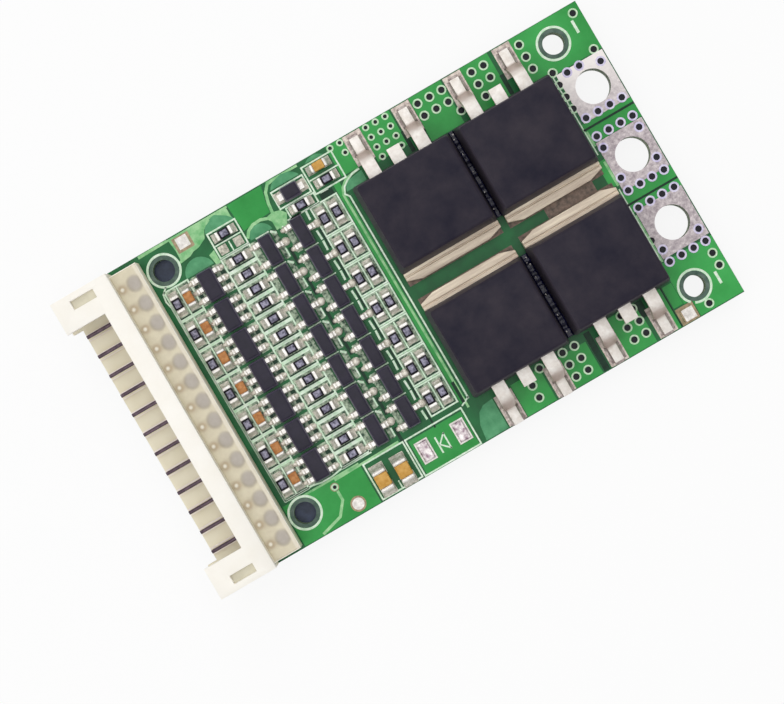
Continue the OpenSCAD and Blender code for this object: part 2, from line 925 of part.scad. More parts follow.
module timing_capacitor_body() {
    at_places([TIMING])
        capacitor_core();
}

module timing_capacitor_ends() {
    at_places([TIMING])
        capacitor_ends();
}

module clamp_diode_body() {
    color([0.14, 0.12, 0.16])
        at_places([CLAMP])
            crowned_block(clamp_body[0], clamp_body[1], clamp_body[2], chip_draft, clamp_body[2] / 2);
}

module clamp_diode_leads() {
    color([0.86, 0.85, 0.84])
        at_places([CLAMP])
            for (side = [-1, 1])
                translate([side * (clamp_body[0] + clamp_lead[0]) / 2, 0, clamp_lead[2] / 2])
                    cube(clamp_lead, center = true);
}

module reservoir_capacitor_bodies() {
    at_places(RESERVOIR)
        upright()
            part_core(large_l, large_w, large_h, large_end, [0.8, 0.6, 0.25]);
}

module reservoir_capacitor_ends() {
    at_places(RESERVOIR)
        upright()
            part_ends(large_l, large_w, large_h, large_end);
}

circuit_board();
terminal_pads_upper_side();
terminal_pads_underside();
transistor_pads();
component_pads();
test_pads();
open_diode_pads();
via_rings();
header_housing();
header_pins();
header_solder_joints();
transistor_1_body();
transistor_1_tab();
transistor_1_leads();
transistor_2_body();
transistor_2_tab();
transistor_2_leads();
transistor_3_body();
transistor_3_tab();
transistor_3_leads();
transistor_4_body();
transistor_4_tab();
transistor_4_leads();
monitor_chip_bodies();
monitor_chip_leads();
inner_transistor_bodies();
inner_transistor_leads();
outer_transistor_bodies();
outer_transistor_leads();
supply_resistor_bodies();
supply_resistor_ends();
filter_capacitor_bodies();
filter_capacitor_ends();
divider_resistor_bodies();
divider_resistor_ends();
bleed_resistor_bodies();
bleed_resistor_ends();
logic_resistor_bodies();
logic_resistor_ends();
timing_capacitor_body();
timing_capacitor_ends();
clamp_diode_body();
clamp_diode_leads();
reservoir_capacitor_bodies();
reservoir_capacitor_ends();
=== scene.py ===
import math

import bmesh
import bpy
import numpy as np
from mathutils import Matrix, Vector
from mathutils.geometry import delaunay_2d_cdt


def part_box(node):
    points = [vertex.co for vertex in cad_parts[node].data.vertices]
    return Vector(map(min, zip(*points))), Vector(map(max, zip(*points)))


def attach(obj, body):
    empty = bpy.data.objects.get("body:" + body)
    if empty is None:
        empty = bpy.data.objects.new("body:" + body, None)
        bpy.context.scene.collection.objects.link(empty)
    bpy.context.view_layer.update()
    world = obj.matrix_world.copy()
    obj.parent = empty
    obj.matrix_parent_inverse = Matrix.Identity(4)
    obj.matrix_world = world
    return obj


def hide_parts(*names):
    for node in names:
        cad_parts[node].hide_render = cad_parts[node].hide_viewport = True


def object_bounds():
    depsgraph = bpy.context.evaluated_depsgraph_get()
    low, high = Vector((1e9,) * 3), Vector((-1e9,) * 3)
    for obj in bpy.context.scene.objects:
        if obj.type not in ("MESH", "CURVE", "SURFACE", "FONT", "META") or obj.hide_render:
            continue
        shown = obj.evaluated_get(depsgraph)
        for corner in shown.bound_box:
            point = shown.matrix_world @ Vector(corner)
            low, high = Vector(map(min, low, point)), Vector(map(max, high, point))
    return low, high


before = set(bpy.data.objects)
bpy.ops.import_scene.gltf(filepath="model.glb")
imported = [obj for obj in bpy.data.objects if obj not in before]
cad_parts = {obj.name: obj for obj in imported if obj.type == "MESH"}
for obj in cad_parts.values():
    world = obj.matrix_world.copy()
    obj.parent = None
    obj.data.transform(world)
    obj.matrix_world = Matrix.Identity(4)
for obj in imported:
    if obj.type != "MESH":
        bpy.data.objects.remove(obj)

cad_box = [list(map(float, corner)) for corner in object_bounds()]

# ---- Studio: floor, lamps and camera ----
# The board lies flat on a pale sheet and is seen from straight above with a long lens.
# A broad lamp overhead and two weaker ones at the sides give soft, narrow shadows.

MM = 0.001
board_low, board_high = (np.array(corner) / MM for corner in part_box("circuit_board"))
floor_z = cad_box[0][2]
sheet = bpy.data.meshes.new("floor_sheet")
half = 1.5
sheet.from_pydata([(-half, -half, floor_z), (half, -half, floor_z), (half, half, floor_z),
                   (-half, half, floor_z)],
                  [], [(0, 1, 2, 3)])
floor = bpy.data.objects.new("floor_sheet", sheet)
bpy.context.scene.collection.objects.link(floor)


def new_material(name):
    """A named material: returns it with its node tree and its Principled shader."""
    made = bpy.data.materials.new(name)
    made.use_nodes = True
    tree = made.node_tree
    return made, tree, tree.nodes["Principled BSDF"]


def tone(red, green, blue):
    """Linear colour of a colour given as 0 to 255 screen values."""
    share = np.array([red, green, blue]) / 255
    linear = np.where(share <= 0.04045, share / 12.92, ((share + 0.055) / 1.055) ** 2.4)
    return (*map(float, linear), 1.0)


paper, tree, shader = new_material("white_paper")
shader.inputs["Base Color"].default_value = (0.86, 0.86, 0.86, 1)
shader.inputs["Roughness"].default_value = 0.9
glow = tree.nodes.new("ShaderNodeEmission")
glow.inputs["Strength"].default_value = 1.0
either = tree.nodes.new("ShaderNodeMixShader")
seen = tree.nodes.new("ShaderNodeLightPath")
share = tree.nodes.new("ShaderNodeMath")
share.operation = "MULTIPLY"
share.inputs[1].default_value = 0.88
tree.links.new(seen.outputs["Is Camera Ray"], share.inputs[0])
tree.links.new(share.outputs[0], either.inputs[0])
tree.links.new(shader.outputs[0], either.inputs[1])
tree.links.new(glow.outputs[0], either.inputs[2])
tree.links.new(either.outputs[0], tree.nodes["Material Output"].inputs["Surface"])
sheet.materials.append(paper)

world = bpy.data.worlds.new("studio_air")
world.use_nodes = True
world.node_tree.nodes["Background"].inputs["Color"].default_value = (1, 1, 1, 1)
world.node_tree.nodes["Background"].inputs["Strength"].default_value = 0.45
bpy.context.scene.world = world


def soft_lamp(name, place, target, width, power):
    """A square area lamp that faces its target."""
    data = bpy.data.lights.new(name, "AREA")
    data.size = width
    data.energy = power
    lamp = bpy.data.objects.new(name, data)
    bpy.context.scene.collection.objects.link(lamp)
    gaze = np.array(target, float) - np.array(place, float)
    pitch = math.atan2(math.hypot(gaze[0], gaze[1]), -gaze[2])
    lamp.location = place
    lamp.rotation_euler = (pitch, 0, math.atan2(gaze[1], gaze[0]) - math.pi / 2)


soft_lamp("overhead_lamp", (-0.05, 0.05, 0.45), (0, 0, 0), 0.45, 1.0)
soft_lamp("left_lamp", (-0.35, -0.05, 0.22), (0, 0, 0), 0.2, 0.22)
soft_lamp("far_lamp", (0.10, 0.35, 0.30), (0, 0, 0), 0.22, 0.3)

camera_data = bpy.data.cameras.new("camera")
camera_data.sensor_width = 36
focal_per_width = 2339.7 / 784
camera_data.lens = camera_data.sensor_width * focal_per_width
camera_data.clip_start = 0.01
camera = bpy.data.objects.new("camera", camera_data)
bpy.context.scene.collection.objects.link(camera)
camera.location = (-0.005275, -0.003875, 0.2116)
camera.rotation_euler = (math.radians(-0.167), math.radians(0.201), math.radians(-30.244))
bpy.context.scene.camera = camera
bpy.context.scene.view_settings.view_transform = "Standard"

# ---- Circuit board: laminate under green solder mask ----
# A glass-cloth laminate 1.6 mm thick, coated on both faces with glossy green mask.
# Where copper lies under the mask it stands a little proud and looks lighter.


def spot(x, y):
    """A place on the board, given from the header's edge and the upper edge, as X and Y in millimetres."""
    return board_low[0] + x, board_high[1] - y


def piece(name, points, faces, material, slot, smooth=True):
    """Puts millimetre points and a list of face arrays into one mesh piece that rides on the board."""
    mesh = bpy.data.meshes.new(name)
    rows = [row for block in faces for row in np.asarray(block).tolist()]
    mesh.from_pydata((np.asarray(points) * MM).tolist(), [], rows)
    mesh.polygons.foreach_set("use_smooth", np.full(len(mesh.polygons), smooth))
    mesh.materials.append(material)
    mesh.update()
    obj = bpy.data.objects.new(name, mesh)
    bpy.context.scene.collection.objects.link(obj)
    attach(obj, "root")
    return obj


def gather(shapes):
    """Joins several (points, faces) shapes into one, shifting each shape's face numbers past the points
    before it."""
    start = 0
    points, faces = [], []
    for shape_points, shape_faces in shapes:
        points.append(shape_points)
        faces += [np.asarray(block) + start for block in shape_faces]
        start += len(shape_points)
    return np.concatenate(points), faces


def slab(outline, low, high):
    """A flat plate: the closed outline of X and Y, walls from low to high, and one face on top."""
    ring = np.asarray(outline, float)
    if np.sum(ring[:, 0] * np.roll(ring[:, 1], -1) - ring[:, 1] * np.roll(ring[:, 0], -1)) < 0:
        ring = ring[::-1]
    n = len(ring)
    i = np.arange(n)
    j = (i + 1) % n
    points = np.concatenate([np.c_[ring, np.full(n, low)], np.c_[ring, np.full(n, high)]])
    return points, [np.stack([i, j, j + n, i + n], 1), (i + n)[None]]


def board_slab(outline, low, high):
    """A slab whose outline is given from the board's edges."""
    return slab(np.array([spot(x, y) for x, y in outline]), low, high)


def ribbon(route, width, low, high, closed=False):
    """A low flat strip along a route on the board: at each point the sides stand half a width out along the
    mean of the two neighbouring directions' normals, and the section is a bar from low to high."""
    line = np.array([spot(x, y) for x, y in route], float)
    ahead = np.roll(line, -1, 0) - line
    behind = line - np.roll(line, 1, 0)
    if not closed:
        ahead[-1] = behind[-1]
        behind[0] = ahead[0]
    unit_ahead = ahead / np.linalg.norm(ahead, axis=1)[:, None]
    unit_behind = behind / np.linalg.norm(behind, axis=1)[:, None]
    side = np.stack([-(unit_ahead + unit_behind)[:, 1], (unit_ahead + unit_behind)[:, 0]], 1)
    side /= np.maximum(np.sum(side * np.stack([-unit_ahead[:, 1], unit_ahead[:, 0]], 1), 1), 0.5)[:, None]
    left, right = line + side * width / 2, line - side * width / 2
    n = len(line)
    points = np.concatenate([np.c_[right, np.full(n, low)], np.c_[left, np.full(n, low)],
                             np.c_[right, np.full(n, high)], np.c_[left, np.full(n, high)]])
    i = np.arange(n if closed else n - 1)
    j = (i + 1) % n
    faces = [np.stack([i + 2 * n, j + 2 * n, j + 3 * n, i + 3 * n], 1),
             np.stack([i, j, j + 2 * n, i + 2 * n], 1), np.stack([j + n, i + n, i + 3 * n, j + 3 * n], 1)]
    if not closed:
        faces += [np.array([[n, 0, 2 * n, 3 * n]]), np.array([[n - 1, 2 * n - 1, 4 * n - 1, 3 * n - 1]])]
    return points, faces


def arc(centre, radius, start, stop, steps=12):
    """Points of a circle's arc on the board, from one angle to another, in degrees."""
    turn = np.radians(np.linspace(start, stop, steps + 1))
    return [(centre[0] + radius * math.cos(t), centre[1] - radius * math.sin(t)) for t in turn]


def box_outline(x0, y0, x1, y1):
    """The four corners of an upright rectangle on the board."""
    return [(x0, y0), (x1, y0), (x1, y1), (x0, y1)]


def add_group(name, inputs, outputs):
    """A shader node group with the named inputs (name, kind, default) and outputs (name, kind)."""
    group = bpy.data.node_groups.new(name, "ShaderNodeTree")
    for label, kind, default in inputs:
        socket = group.interface.new_socket(name=label, in_out="INPUT", socket_type="NodeSocket" + kind)
        if default is not None:
            socket.default_value = default
    for label, kind in outputs:
        group.interface.new_socket(name=label, in_out="OUTPUT", socket_type="NodeSocket" + kind)
    return group, group.nodes.new("NodeGroupInput"), group.nodes.new("NodeGroupOutput")


# Two tones mixed by cloudy noise at two sizes, as on any real coating or cast surface
patchy, goes_in, comes_out = add_group(
    "patchy_tone", [("Size", "Float", 1.0), ("Dark", "Color", (0, 0, 0, 1)), ("Light", "Color", (1, 1, 1, 1)),
                    ("Sharpness", "Float", 2.0), ("Stretch", "Vector", (1, 1, 1))], [("Color", "Color")])
where = patchy.nodes.new("ShaderNodeTexCoord")
pulled = patchy.nodes.new("ShaderNodeVectorMath")
pulled.operation = "MULTIPLY"
per_metre = patchy.nodes.new("ShaderNodeMath")
per_metre.operation = "DIVIDE"
per_metre.inputs[0].default_value = 1000.0
clouds = patchy.nodes.new("ShaderNodeTexNoise")
clouds.inputs["Detail"].default_value = 6.0
clouds.inputs["Roughness"].default_value = 0.6
centre = patchy.nodes.new("ShaderNodeMath")
centre.operation = "SUBTRACT"
centre.inputs[1].default_value = 0.5
stretch = patchy.nodes.new("ShaderNodeMath")
stretch.operation = "MULTIPLY_ADD"
stretch.inputs[2].default_value = 0.5
stretch.use_clamp = True
blend = patchy.nodes.new("ShaderNodeMix")
blend.data_type = "RGBA"
patchy.links.new(goes_in.outputs["Size"], per_metre.inputs[1])
patchy.links.new(where.outputs["Object"], pulled.inputs[0])
patchy.links.new(goes_in.outputs["Stretch"], pulled.inputs[1])
patchy.links.new(pulled.outputs[0], clouds.inputs["Vector"])
patchy.links.new(per_metre.outputs[0], clouds.inputs["Scale"])
patchy.links.new(clouds.outputs["Fac"], centre.inputs[0])
patchy.links.new(centre.outputs[0], stretch.inputs[0])
patchy.links.new(goes_in.outputs["Sharpness"], stretch.inputs[1])
patchy.links.new(stretch.outputs[0], blend.inputs["Factor"])
patchy.links.new(goes_in.outputs["Dark"], blend.inputs["A"])
patchy.links.new(goes_in.outputs["Light"], blend.inputs["B"])
patchy.links.new(blend.outputs["Result"], comes_out.inputs["Color"])

# Fine grain for bumps, as a height made of small noise
grain, goes_in, comes_out = add_group("fine_grain", [("Size", "Float", 0.2)], [("Height", "Float")])
where = grain.nodes.new("ShaderNodeTexCoord")
per_metre = grain.nodes.new("ShaderNodeMath")
per_metre.operation = "DIVIDE"
per_metre.inputs[0].default_value = 1000.0
specks = grain.nodes.new("ShaderNodeTexNoise")
specks.inputs["Detail"].default_value = 3.0
grain.links.new(goes_in.outputs["Size"], per_metre.inputs[1])
grain.links.new(where.outputs["Object"], specks.inputs["Vector"])
grain.links.new(per_metre.outputs[0], specks.inputs["Scale"])
grain.links.new(specks.outputs["Fac"], comes_out.inputs["Height"])

# A second tone on faces that lean away from flat, such as rounded edges, drafted walls and cut sides: the cut
# laminate's own colour on the board, and painted sheen and shade on moulded bodies and leads
lean, goes_in, comes_out = add_group(
    "edge_tone", [("Flat", "Color", (0, 0, 0, 1)), ("Edge", "Color", (1, 1, 1, 1)), ("From", "Float", 0.3),
                  ("To", "Float", 0.9)], [("Color", "Color")])
facing = lean.nodes.new("ShaderNodeNewGeometry")
split = lean.nodes.new("ShaderNodeSeparateXYZ")
upright = lean.nodes.new("ShaderNodeMath")
upright.operation = "ABSOLUTE"
turned = lean.nodes.new("ShaderNodeMapRange")
turned.inputs["To Min"].default_value = 1.0
turned.inputs["To Max"].default_value = 0.0
blend = lean.nodes.new("ShaderNodeMix")
blend.data_type = "RGBA"
lean.links.new(facing.outputs["Normal"], split.inputs[0])
lean.links.new(split.outputs["Z"], upright.inputs[0])
lean.links.new(upright.outputs[0], turned.inputs["Value"])
lean.links.new(goes_in.outputs["From"], turned.inputs["From Min"])
lean.links.new(goes_in.outputs["To"], turned.inputs["From Max"])
lean.links.new(turned.outputs["Result"], blend.inputs["Factor"])
lean.links.new(goes_in.outputs["Flat"], blend.inputs["A"])
lean.links.new(goes_in.outputs["Edge"], blend.inputs["B"])
lean.links.new(blend.outputs["Result"], comes_out.inputs["Color"])


def clouded(tree, size, dark, light, sharpness, stretch=(1, 1, 1)):
    """Two cloudy tones in a material's tree, the clouds' size in millimetres; returns the colour."""
    cloud = tree.nodes.new("ShaderNodeGroup")
    cloud.node_tree = patchy
    for socket, value in (("Size", size), ("Dark", dark), ("Light", light), ("Sharpness", sharpness),
                          ("Stretch", stretch)):
        cloud.inputs[socket].default_value = value
    return cloud.outputs["Color"]


def grained(tree, shader, size, strength, deep):
    """A fine bump on a shader, the grain's size in millimetres and its depth in metres."""
    height = tree.nodes.new("ShaderNodeGroup")
    height.node_tree = grain
    height.inputs["Size"].default_value = size
    rough = tree.nodes.new("ShaderNodeBump")
    rough.inputs["Strength"].default_value = strength
    rough.inputs["Distance"].default_value = deep
    tree.links.new(height.outputs["Height"], rough.inputs["Height"])
    tree.links.new(rough.outputs["Normal"], shader.inputs["Normal"])


def place_along(tree, axis):
    """Where a point of the surface lies along one axis of the part, in metres."""
    place = tree.nodes.new("ShaderNodeTexCoord")
    split = tree.nodes.new("ShaderNodeSeparateXYZ")
    tree.links.new(place.outputs["Object"], split.inputs[0])
    return split.outputs[axis]


def fade(tree, value, start, stop, most=1.0):
    """A share that rises evenly from 0 at start to its most at stop."""
    rise = tree.nodes.new("ShaderNodeMapRange")
    rise.inputs["From Min"].default_value = start
    rise.inputs["From Max"].default_value = stop
    rise.inputs["To Max"].default_value = most
    tree.links.new(value, rise.inputs["Value"])
    return rise.outputs["Result"]


def blended(tree, share, first, second, way="MIX"):
    """Two colours blended by a share, each a socket or a plain value."""
    mix = tree.nodes.new("ShaderNodeMix")
    mix.data_type = "RGBA"
    mix.blend_type = way
    for socket, given in (("Factor", share), ("A", first), ("B", second)):
        if isinstance(given, bpy.types.NodeSocket):
            tree.links.new(given, mix.inputs[socket])
        else:
            mix.inputs[socket].default_value = given
    return mix.outputs["Result"]


def colour_of(made):
    """A material's tree, its colour's inlet and what feeds that inlet."""
    inlet = made.node_tree.nodes["Principled BSDF"].inputs["Base Color"]
    return made.node_tree, inlet, inlet.links[0].from_socket


def add_edge(made, edge, start, stop):
    """Mixes a second tone into a material's colour on faces that lean: full below start, none above stop,
    both given as the upright share of the face's normal. The edge is a colour or a socket."""
    tree, inlet, feed = colour_of(made)
    turned = tree.nodes.new("ShaderNodeGroup")
    turned.node_tree = lean
    turned.inputs["From"].default_value = start
    turned.inputs["To"].default_value = stop
    if isinstance(edge, tuple):
        turned.inputs["Edge"].default_value = edge
    else:
        tree.links.new(edge, turned.inputs["Edge"])
    tree.links.new(feed, turned.inputs["Flat"])
    tree.links.new(turned.outputs["Color"], inlet)


def coat(name, dark, light, size, sharpness, roughness, metallic=0.0, grain_size=None, bump=0.3, deep=0.00001,
         gloss=0.5, stretch=(1, 1, 1)):
    """A two-toned surface with its own roughness and a fine bump; sizes in millimetres."""
    made, tree, shader = new_material(name)
    tree.links.new(clouded(tree, size, dark, light, sharpness, stretch), shader.inputs["Base Color"])
    shader.inputs["Specular IOR Level"].default_value = gloss
    shader.inputs["Roughness"].default_value = roughness
    shader.inputs["Metallic"].default_value = metallic
    if grain_size:
        grained(tree, shader, grain_size, bump, deep)
    return made


board_top = board_high[2]
mask_t = 0.02
mask_green = coat("mask_green", tone(4, 78, 38), tone(18, 112, 56), 2.4, 2.2, 0.32, grain_size=0.5, bump=0.15,
                  gloss=0.25)
bright_mask = coat("bright_mask", tone(14, 132, 46), tone(58, 174, 82), 9.0, 2.6, 0.3, grain_size=0.4,
                   bump=0.2,
                   gloss=0.25)
pale_mask = coat("pale_mask", tone(96, 176, 106), tone(176, 222, 166), 0.9, 2.6, 0.38, grain_size=0.3,
                 bump=0.3,
                 gloss=0.3)
grey_mask = coat("grey_mask", tone(42, 128, 78), tone(92, 168, 118), 1.2, 2.4, 0.36, grain_size=0.4, bump=0.2,
                 gloss=0.3)

def dress(node, material):
    """Gives a CAD node its finish."""
    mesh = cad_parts[node].data
    mesh.materials.clear()
    mesh.materials.append(material)


# The board's own surfaces: mask on the two faces, pale cut laminate on the edges and in the holes
weave = clouded(mask_green.node_tree, 0.35, tone(70, 104, 66), tone(150, 170, 116), 3.0)
add_edge(mask_green, weave, 0.49, 0.5)
dress("circuit_board", mask_green)


def corners_of(node):
    """A CAD node's mesh and its corners, in millimetres."""
    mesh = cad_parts[node].data
    co = np.zeros(len(mesh.vertices) * 3, np.float32)
    mesh.vertices.foreach_get("co", co)
    return mesh, co.reshape(-1, 3).astype(float) / MM


def solid_boxes(node, walls_only=False):
    """Lowest and highest corner of each separate solid of a CAD node, in millimetres: points at one place
    are one, and each triangle passes the lowest label among its corners on until nothing changes. With
    walls only the upright triangles count, so a plate gives its outer wall and one box for each hole."""
    mesh, co = corners_of(node)
    mesh.calc_loop_triangles()
    tri = np.zeros(len(mesh.loop_triangles) * 3, np.int32)
    mesh.loop_triangles.foreach_get("vertices", tri)
    place, member = np.unique(np.round(co, 3), axis=0, return_inverse=True)
    tri = member.reshape(-1)[tri].reshape(-1, 3)
    if walls_only:
        normal = np.cross(place[tri[:, 1]] - place[tri[:, 0]], place[tri[:, 2]] - place[tri[:, 0]])
        tri = tri[np.abs(normal[:, 2]) < 0.1 * np.linalg.norm(normal, axis=1)]
    label = np.arange(len(place))
    used = np.zeros(len(place), bool)
    used[tri] = True
    while True:
        least = label.copy()
        low = label[tri].min(1)
        for corner in range(3):
            np.minimum.at(least, tri[:, corner], low)
        if np.array_equal(least, label):
            break
        label = least
    place = place[used]
    _, group = np.unique(label[used], return_inverse=True)
    group = group.reshape(-1)
    low = np.full((group.max() + 1, 3), np.inf)
    high = -low
    np.minimum.at(low, group, place)
    np.maximum.at(high, group, place)
    return np.stack([low, high], 1)


hole_boxes = solid_boxes("circuit_board", walls_only=True)
bore = hole_boxes[:, 1, 0] - hole_boxes[:, 0, 0]
holes = np.c_[hole_boxes[:, :, 0].mean(1), hole_boxes[:, :, 1].mean(1), bore / 2]
vias = holes[bore < 0.7]
screw_holes = holes[(bore > 1.8) & (bore < 2.4)]
screw_holes = screw_holes[np.lexsort((-screw_holes[:, 1], screw_holes[:, 0]))]
ring_w, bare_w = 0.12, 0.375
openings = np.concatenate([vias + (0, 0, ring_w), screw_holes + (0, 0, bare_w)])


def inside(outline, x, y):
    """Whether points lie in a closed outline: an odd number of its sides lie to their right."""
    a, b = outline, np.roll(outline, -1, 0)
    rise = np.where(a[:, 1] == b[:, 1], 1e-9, b[:, 1] - a[:, 1])
    cross = (a[:, 1] > y[:, None]) != (b[:, 1] > y[:, None])
    reach = a[:, 0] + (y[:, None] - a[:, 1]) / rise * (b[:, 0] - a[:, 0])
    return (cross & (reach > x[:, None])).sum(1) % 2 == 1


def pierced_slab(outline, low, high):
    """A flat plate with its openings left out: the outline and the circles of the openings are joined by a
    constrained triangulation, only triangles whose middle lies in the outline and in no circle stay, and
    every free edge gets a wall."""
    ring = np.array([spot(x, y) for x, y in outline], float)
    if np.sum(ring[:, 0] * np.roll(ring[:, 1], -1) - ring[:, 1] * np.roll(ring[:, 0], -1)) < 0:
        ring = ring[::-1]
    turn = np.linspace(0, 2 * math.pi, 20, endpoint=False)
    rings = [ring]
    for x, y, radius in openings:
        rim = np.stack([x + radius * np.cos(turn), y + radius * np.sin(turn)], 1)
        if inside(ring, rim[:, 0], rim[:, 1]).any():
            rings.append(rim)
    flat = np.concatenate(rings)
    starts = np.cumsum([0] + [len(r) for r in rings])
    sides = [(a + i, a + (i + 1) % (b - a)) for a, b in zip(starts[:-1], starts[1:]) for i in range(b - a)]
    found = delaunay_2d_cdt([Vector(p) for p in flat.tolist()], sides, [list(range(len(ring)))], 1, 1e-6)
    points = np.array([list(p) for p in found[0]])
    tri = np.array(found[2])
    middle = points[tri].mean(1)
    away = np.hypot(middle[:, None, 0] - openings[:, 0], middle[:, None, 1] - openings[:, 1])
    tri = tri[(away > openings[:, 2] * 0.97).all(1) & inside(ring, middle[:, 0], middle[:, 1])]
    a, b, c = (points[tri[:, k]] for k in range(3))
    turned = (b[:, 0] - a[:, 0]) * (c[:, 1] - a[:, 1]) - (b[:, 1] - a[:, 1]) * (c[:, 0] - a[:, 0]) < 0
    tri[turned] = tri[turned][:, ::-1]
    n = len(points)
    edges = np.concatenate([tri[:, [0, 1]], tri[:, [1, 2]], tri[:, [2, 0]]])
    whole = set(map(tuple, edges.tolist()))
    rim = np.array([e for e in whole if (e[1], e[0]) not in whole])
    walls = np.stack([rim[:, 0], rim[:, 1], rim[:, 1] + n, rim[:, 0] + n], 1)
    return np.concatenate([np.c_[points, np.full(n, low)], np.c_[points, np.full(n, high)]]), [tri + n, walls]


# Copper areas under the mask round the power parts and along the edges
areas = [
    [(12.35, 0.12), (15.9, 0.12), (15.55, 1.6), (15.4, 2.6), (13.7, 2.72), (12.55, 2.9)],
    box_outline(22.6, 0.05, 24.3, 3.1), box_outline(26.1, 0.05, 29.2, 3.6),
    box_outline(31.2, 0.05, 34.55, 4.45), box_outline(36.4, 0.05, 39.4, 4.45),
    box_outline(41.55, 0.05, 48.58, 4.85), box_outline(43.35, 10.62, 48.58, 11.95),
    box_outline(43.35, 16.95, 48.58, 18.18), box_outline(43.35, 18.36, 48.58, 19.15),
    [(43.35, 24.3), (48.58, 24.3), (48.58, 30.12), (44.15, 30.12), (44.15, 28.45), (43.35, 28.45)],
    box_outline(42.35, 26.2, 43.3, 28.35), box_outline(43.35, 9.95, 48.58, 10.4),
    box_outline(36.6, 26.15, 39.6, 30.12), box_outline(31.05, 26.9, 34.0, 30.12),
    box_outline(26.2, 26.9, 29.2, 30.12), box_outline(21.55, 3.3, 22.15, 26.1),
    box_outline(41.5, 26.15, 42.15, 30.12), box_outline(42.9, 13.6, 43.9, 16.2),
    [(3.05, 26.05), (10.95, 26.05), (10.95, 30.12), (3.05, 30.12)],
    box_outline(15.75, 26.65, 21.2, 30.1)]
piece("mask_over_copper", *gather([pierced_slab(a, board_top, board_top + mask_t) for a in areas]),
      bright_mask, "solder_mask", smooth=False)
# Thinner greyish copper pours and pale strips beside the small parts
dome = [arc((7.35, 4.15), 1.42, 5, 175), arc((10.85, 1.75), 1.5, 8, 172), arc((13.75, 4.05), 1.12, 5, 175),
        arc((17.9, 1.75), 1.68, 28, 152), arc((21.2, 1.5), 1.4, 45, 130)]
piece("grey_pours", *gather([pierced_slab(a, board_top, board_top + mask_t * 0.8) for a in dome + [
      [(22.6, 27.6), (23.2, 27.2), (24.2, 27.1), (24.2, 30.1), (21.9, 30.1), (22.1, 28.6)],
      [(22.6, 3.7), (24.4, 3.45), (24.4, 4.5), (22.3, 4.5)]]]),
      grey_mask, "solder_mask", smooth=False)
pale_areas = [
    [(6.2, 0.12), (12.2, 0.12), (12.2, 1.25), (11.9, 0.9), (10.9, 0.25), (10.2, 0.45), (9.5, 1.0),
     (9.15, 1.7),
     (8.3, 2.1), (6.3, 2.42), (6.35, 1.4)],
    [(3.1, 0.05), (6.1, 0.05), (6.1, 0.3), (3.1, 0.35)],
    [(16.6, 0.08), (19.6, 0.08), (19.6, 0.3), (18.9, 0.3), (17.9, 0.12), (16.7, 0.42), (16.3, 0.42)],
    [(8.75, 3.2), (9.35, 3.0), (9.35, 4.3), (8.9, 4.2)],
    [(14.9, 2.85), (15.6, 2.7), (16.3, 2.9), (16.7, 3.4), (16.2, 4.3), (15.5, 4.4), (15.2, 3.6)]]
piece("pale_strips", *gather([pierced_slab(a, board_top, board_top + mask_t * 0.9) for a in pale_areas]),
      pale_mask, "solder_mask", smooth=False)

# Flux haze and printed ground under the cell circuits
haze = coat("flux_haze", tone(14, 62, 38), tone(186, 204, 176), 0.34, 4.2, 0.4, grain_size=0.15, bump=0.4,
            gloss=0.3)
cell_rows = np.sort(board_high[1] - solid_boxes("monitor_chip_bodies")[:, :, 1].mean(1))
piece("cell_ground", *gather(
    [board_slab(box_outline(x0, row - 1.42, x1, row + 1.42), board_top, board_top + mask_t * 0.6)
     for row in cell_rows for x0, x1 in ((3.62, 4.68), (4.82, 5.88), (6.02, 6.75), (8.45, 9.35),
                                         (9.55, 12.25),
                                         (12.42, 13.0), (14.55, 15.05), (15.75, 16.3), (18.8, 19.92),
                                         (20.1, 21.3))]), haze, "solder_mask", smooth=False)


def closed_sheets(top, low):
    """Closed lumps from height grids: top is an array (lump, row, column, XYZ); each gets a flat underside
    at its low height, below the same points, and walls round the rim."""
    count, rows, columns, _ = top.shape
    under = top.copy()
    under[..., 2] = np.broadcast_to(np.asarray(low, float).reshape(-1, 1, 1), under[..., 2].shape)
    number = np.arange(rows * columns).reshape(rows, columns)
    a, b, c, d = number[:-1, :-1], number[:-1, 1:], number[1:, 1:], number[1:, :-1]
    upper = np.stack([a, b, c, d], -1).reshape(-1, 4)
    rim = np.concatenate([number[0, :], number[1:, -1], number[-1, -2::-1], number[-2:0:-1, 0]])
    step = rows * columns
    after = np.roll(rim, -1)
    wall = np.stack([rim, rim + step, after + step, after], 1)
    one = np.concatenate([upper, upper[:, ::-1] + step, wall])
    shift = np.arange(count)[:, None, None] * 2 * step
    points = np.concatenate([top.reshape(count, step, 3), under.reshape(count, step, 3)], 1)
    return points.reshape(-1, 3), [(one[None] + shift).reshape(-1, 4)]


def mounds(places, size_x, size_y, height, low, power=0.55):
    """Lumps of set solder on oval bases: height times (1 - r squared) to a power, r being 0 at the middle
    and 1 at the rim, on a square grid bent to the oval."""
    line = np.linspace(-1, 1, 9)
    u, v = np.meshgrid(line, line)
    longest = np.maximum(np.abs(u), np.abs(v))
    scale = np.where(longest > 0, longest / np.maximum(np.hypot(u, v), 1e-9), 0)
    u, v = u * scale, v * scale
    z = np.clip(1 - u ** 2 - v ** 2, 0, 1) ** power
    x, y = (np.asarray(places, float)[:, k, None, None] for k in (0, 1))
    top = np.stack([x + u * size_x / 2, y + v * size_y / 2, low + 0.012 + z * height + 0 * x], -1)
    return closed_sheets(top, low)


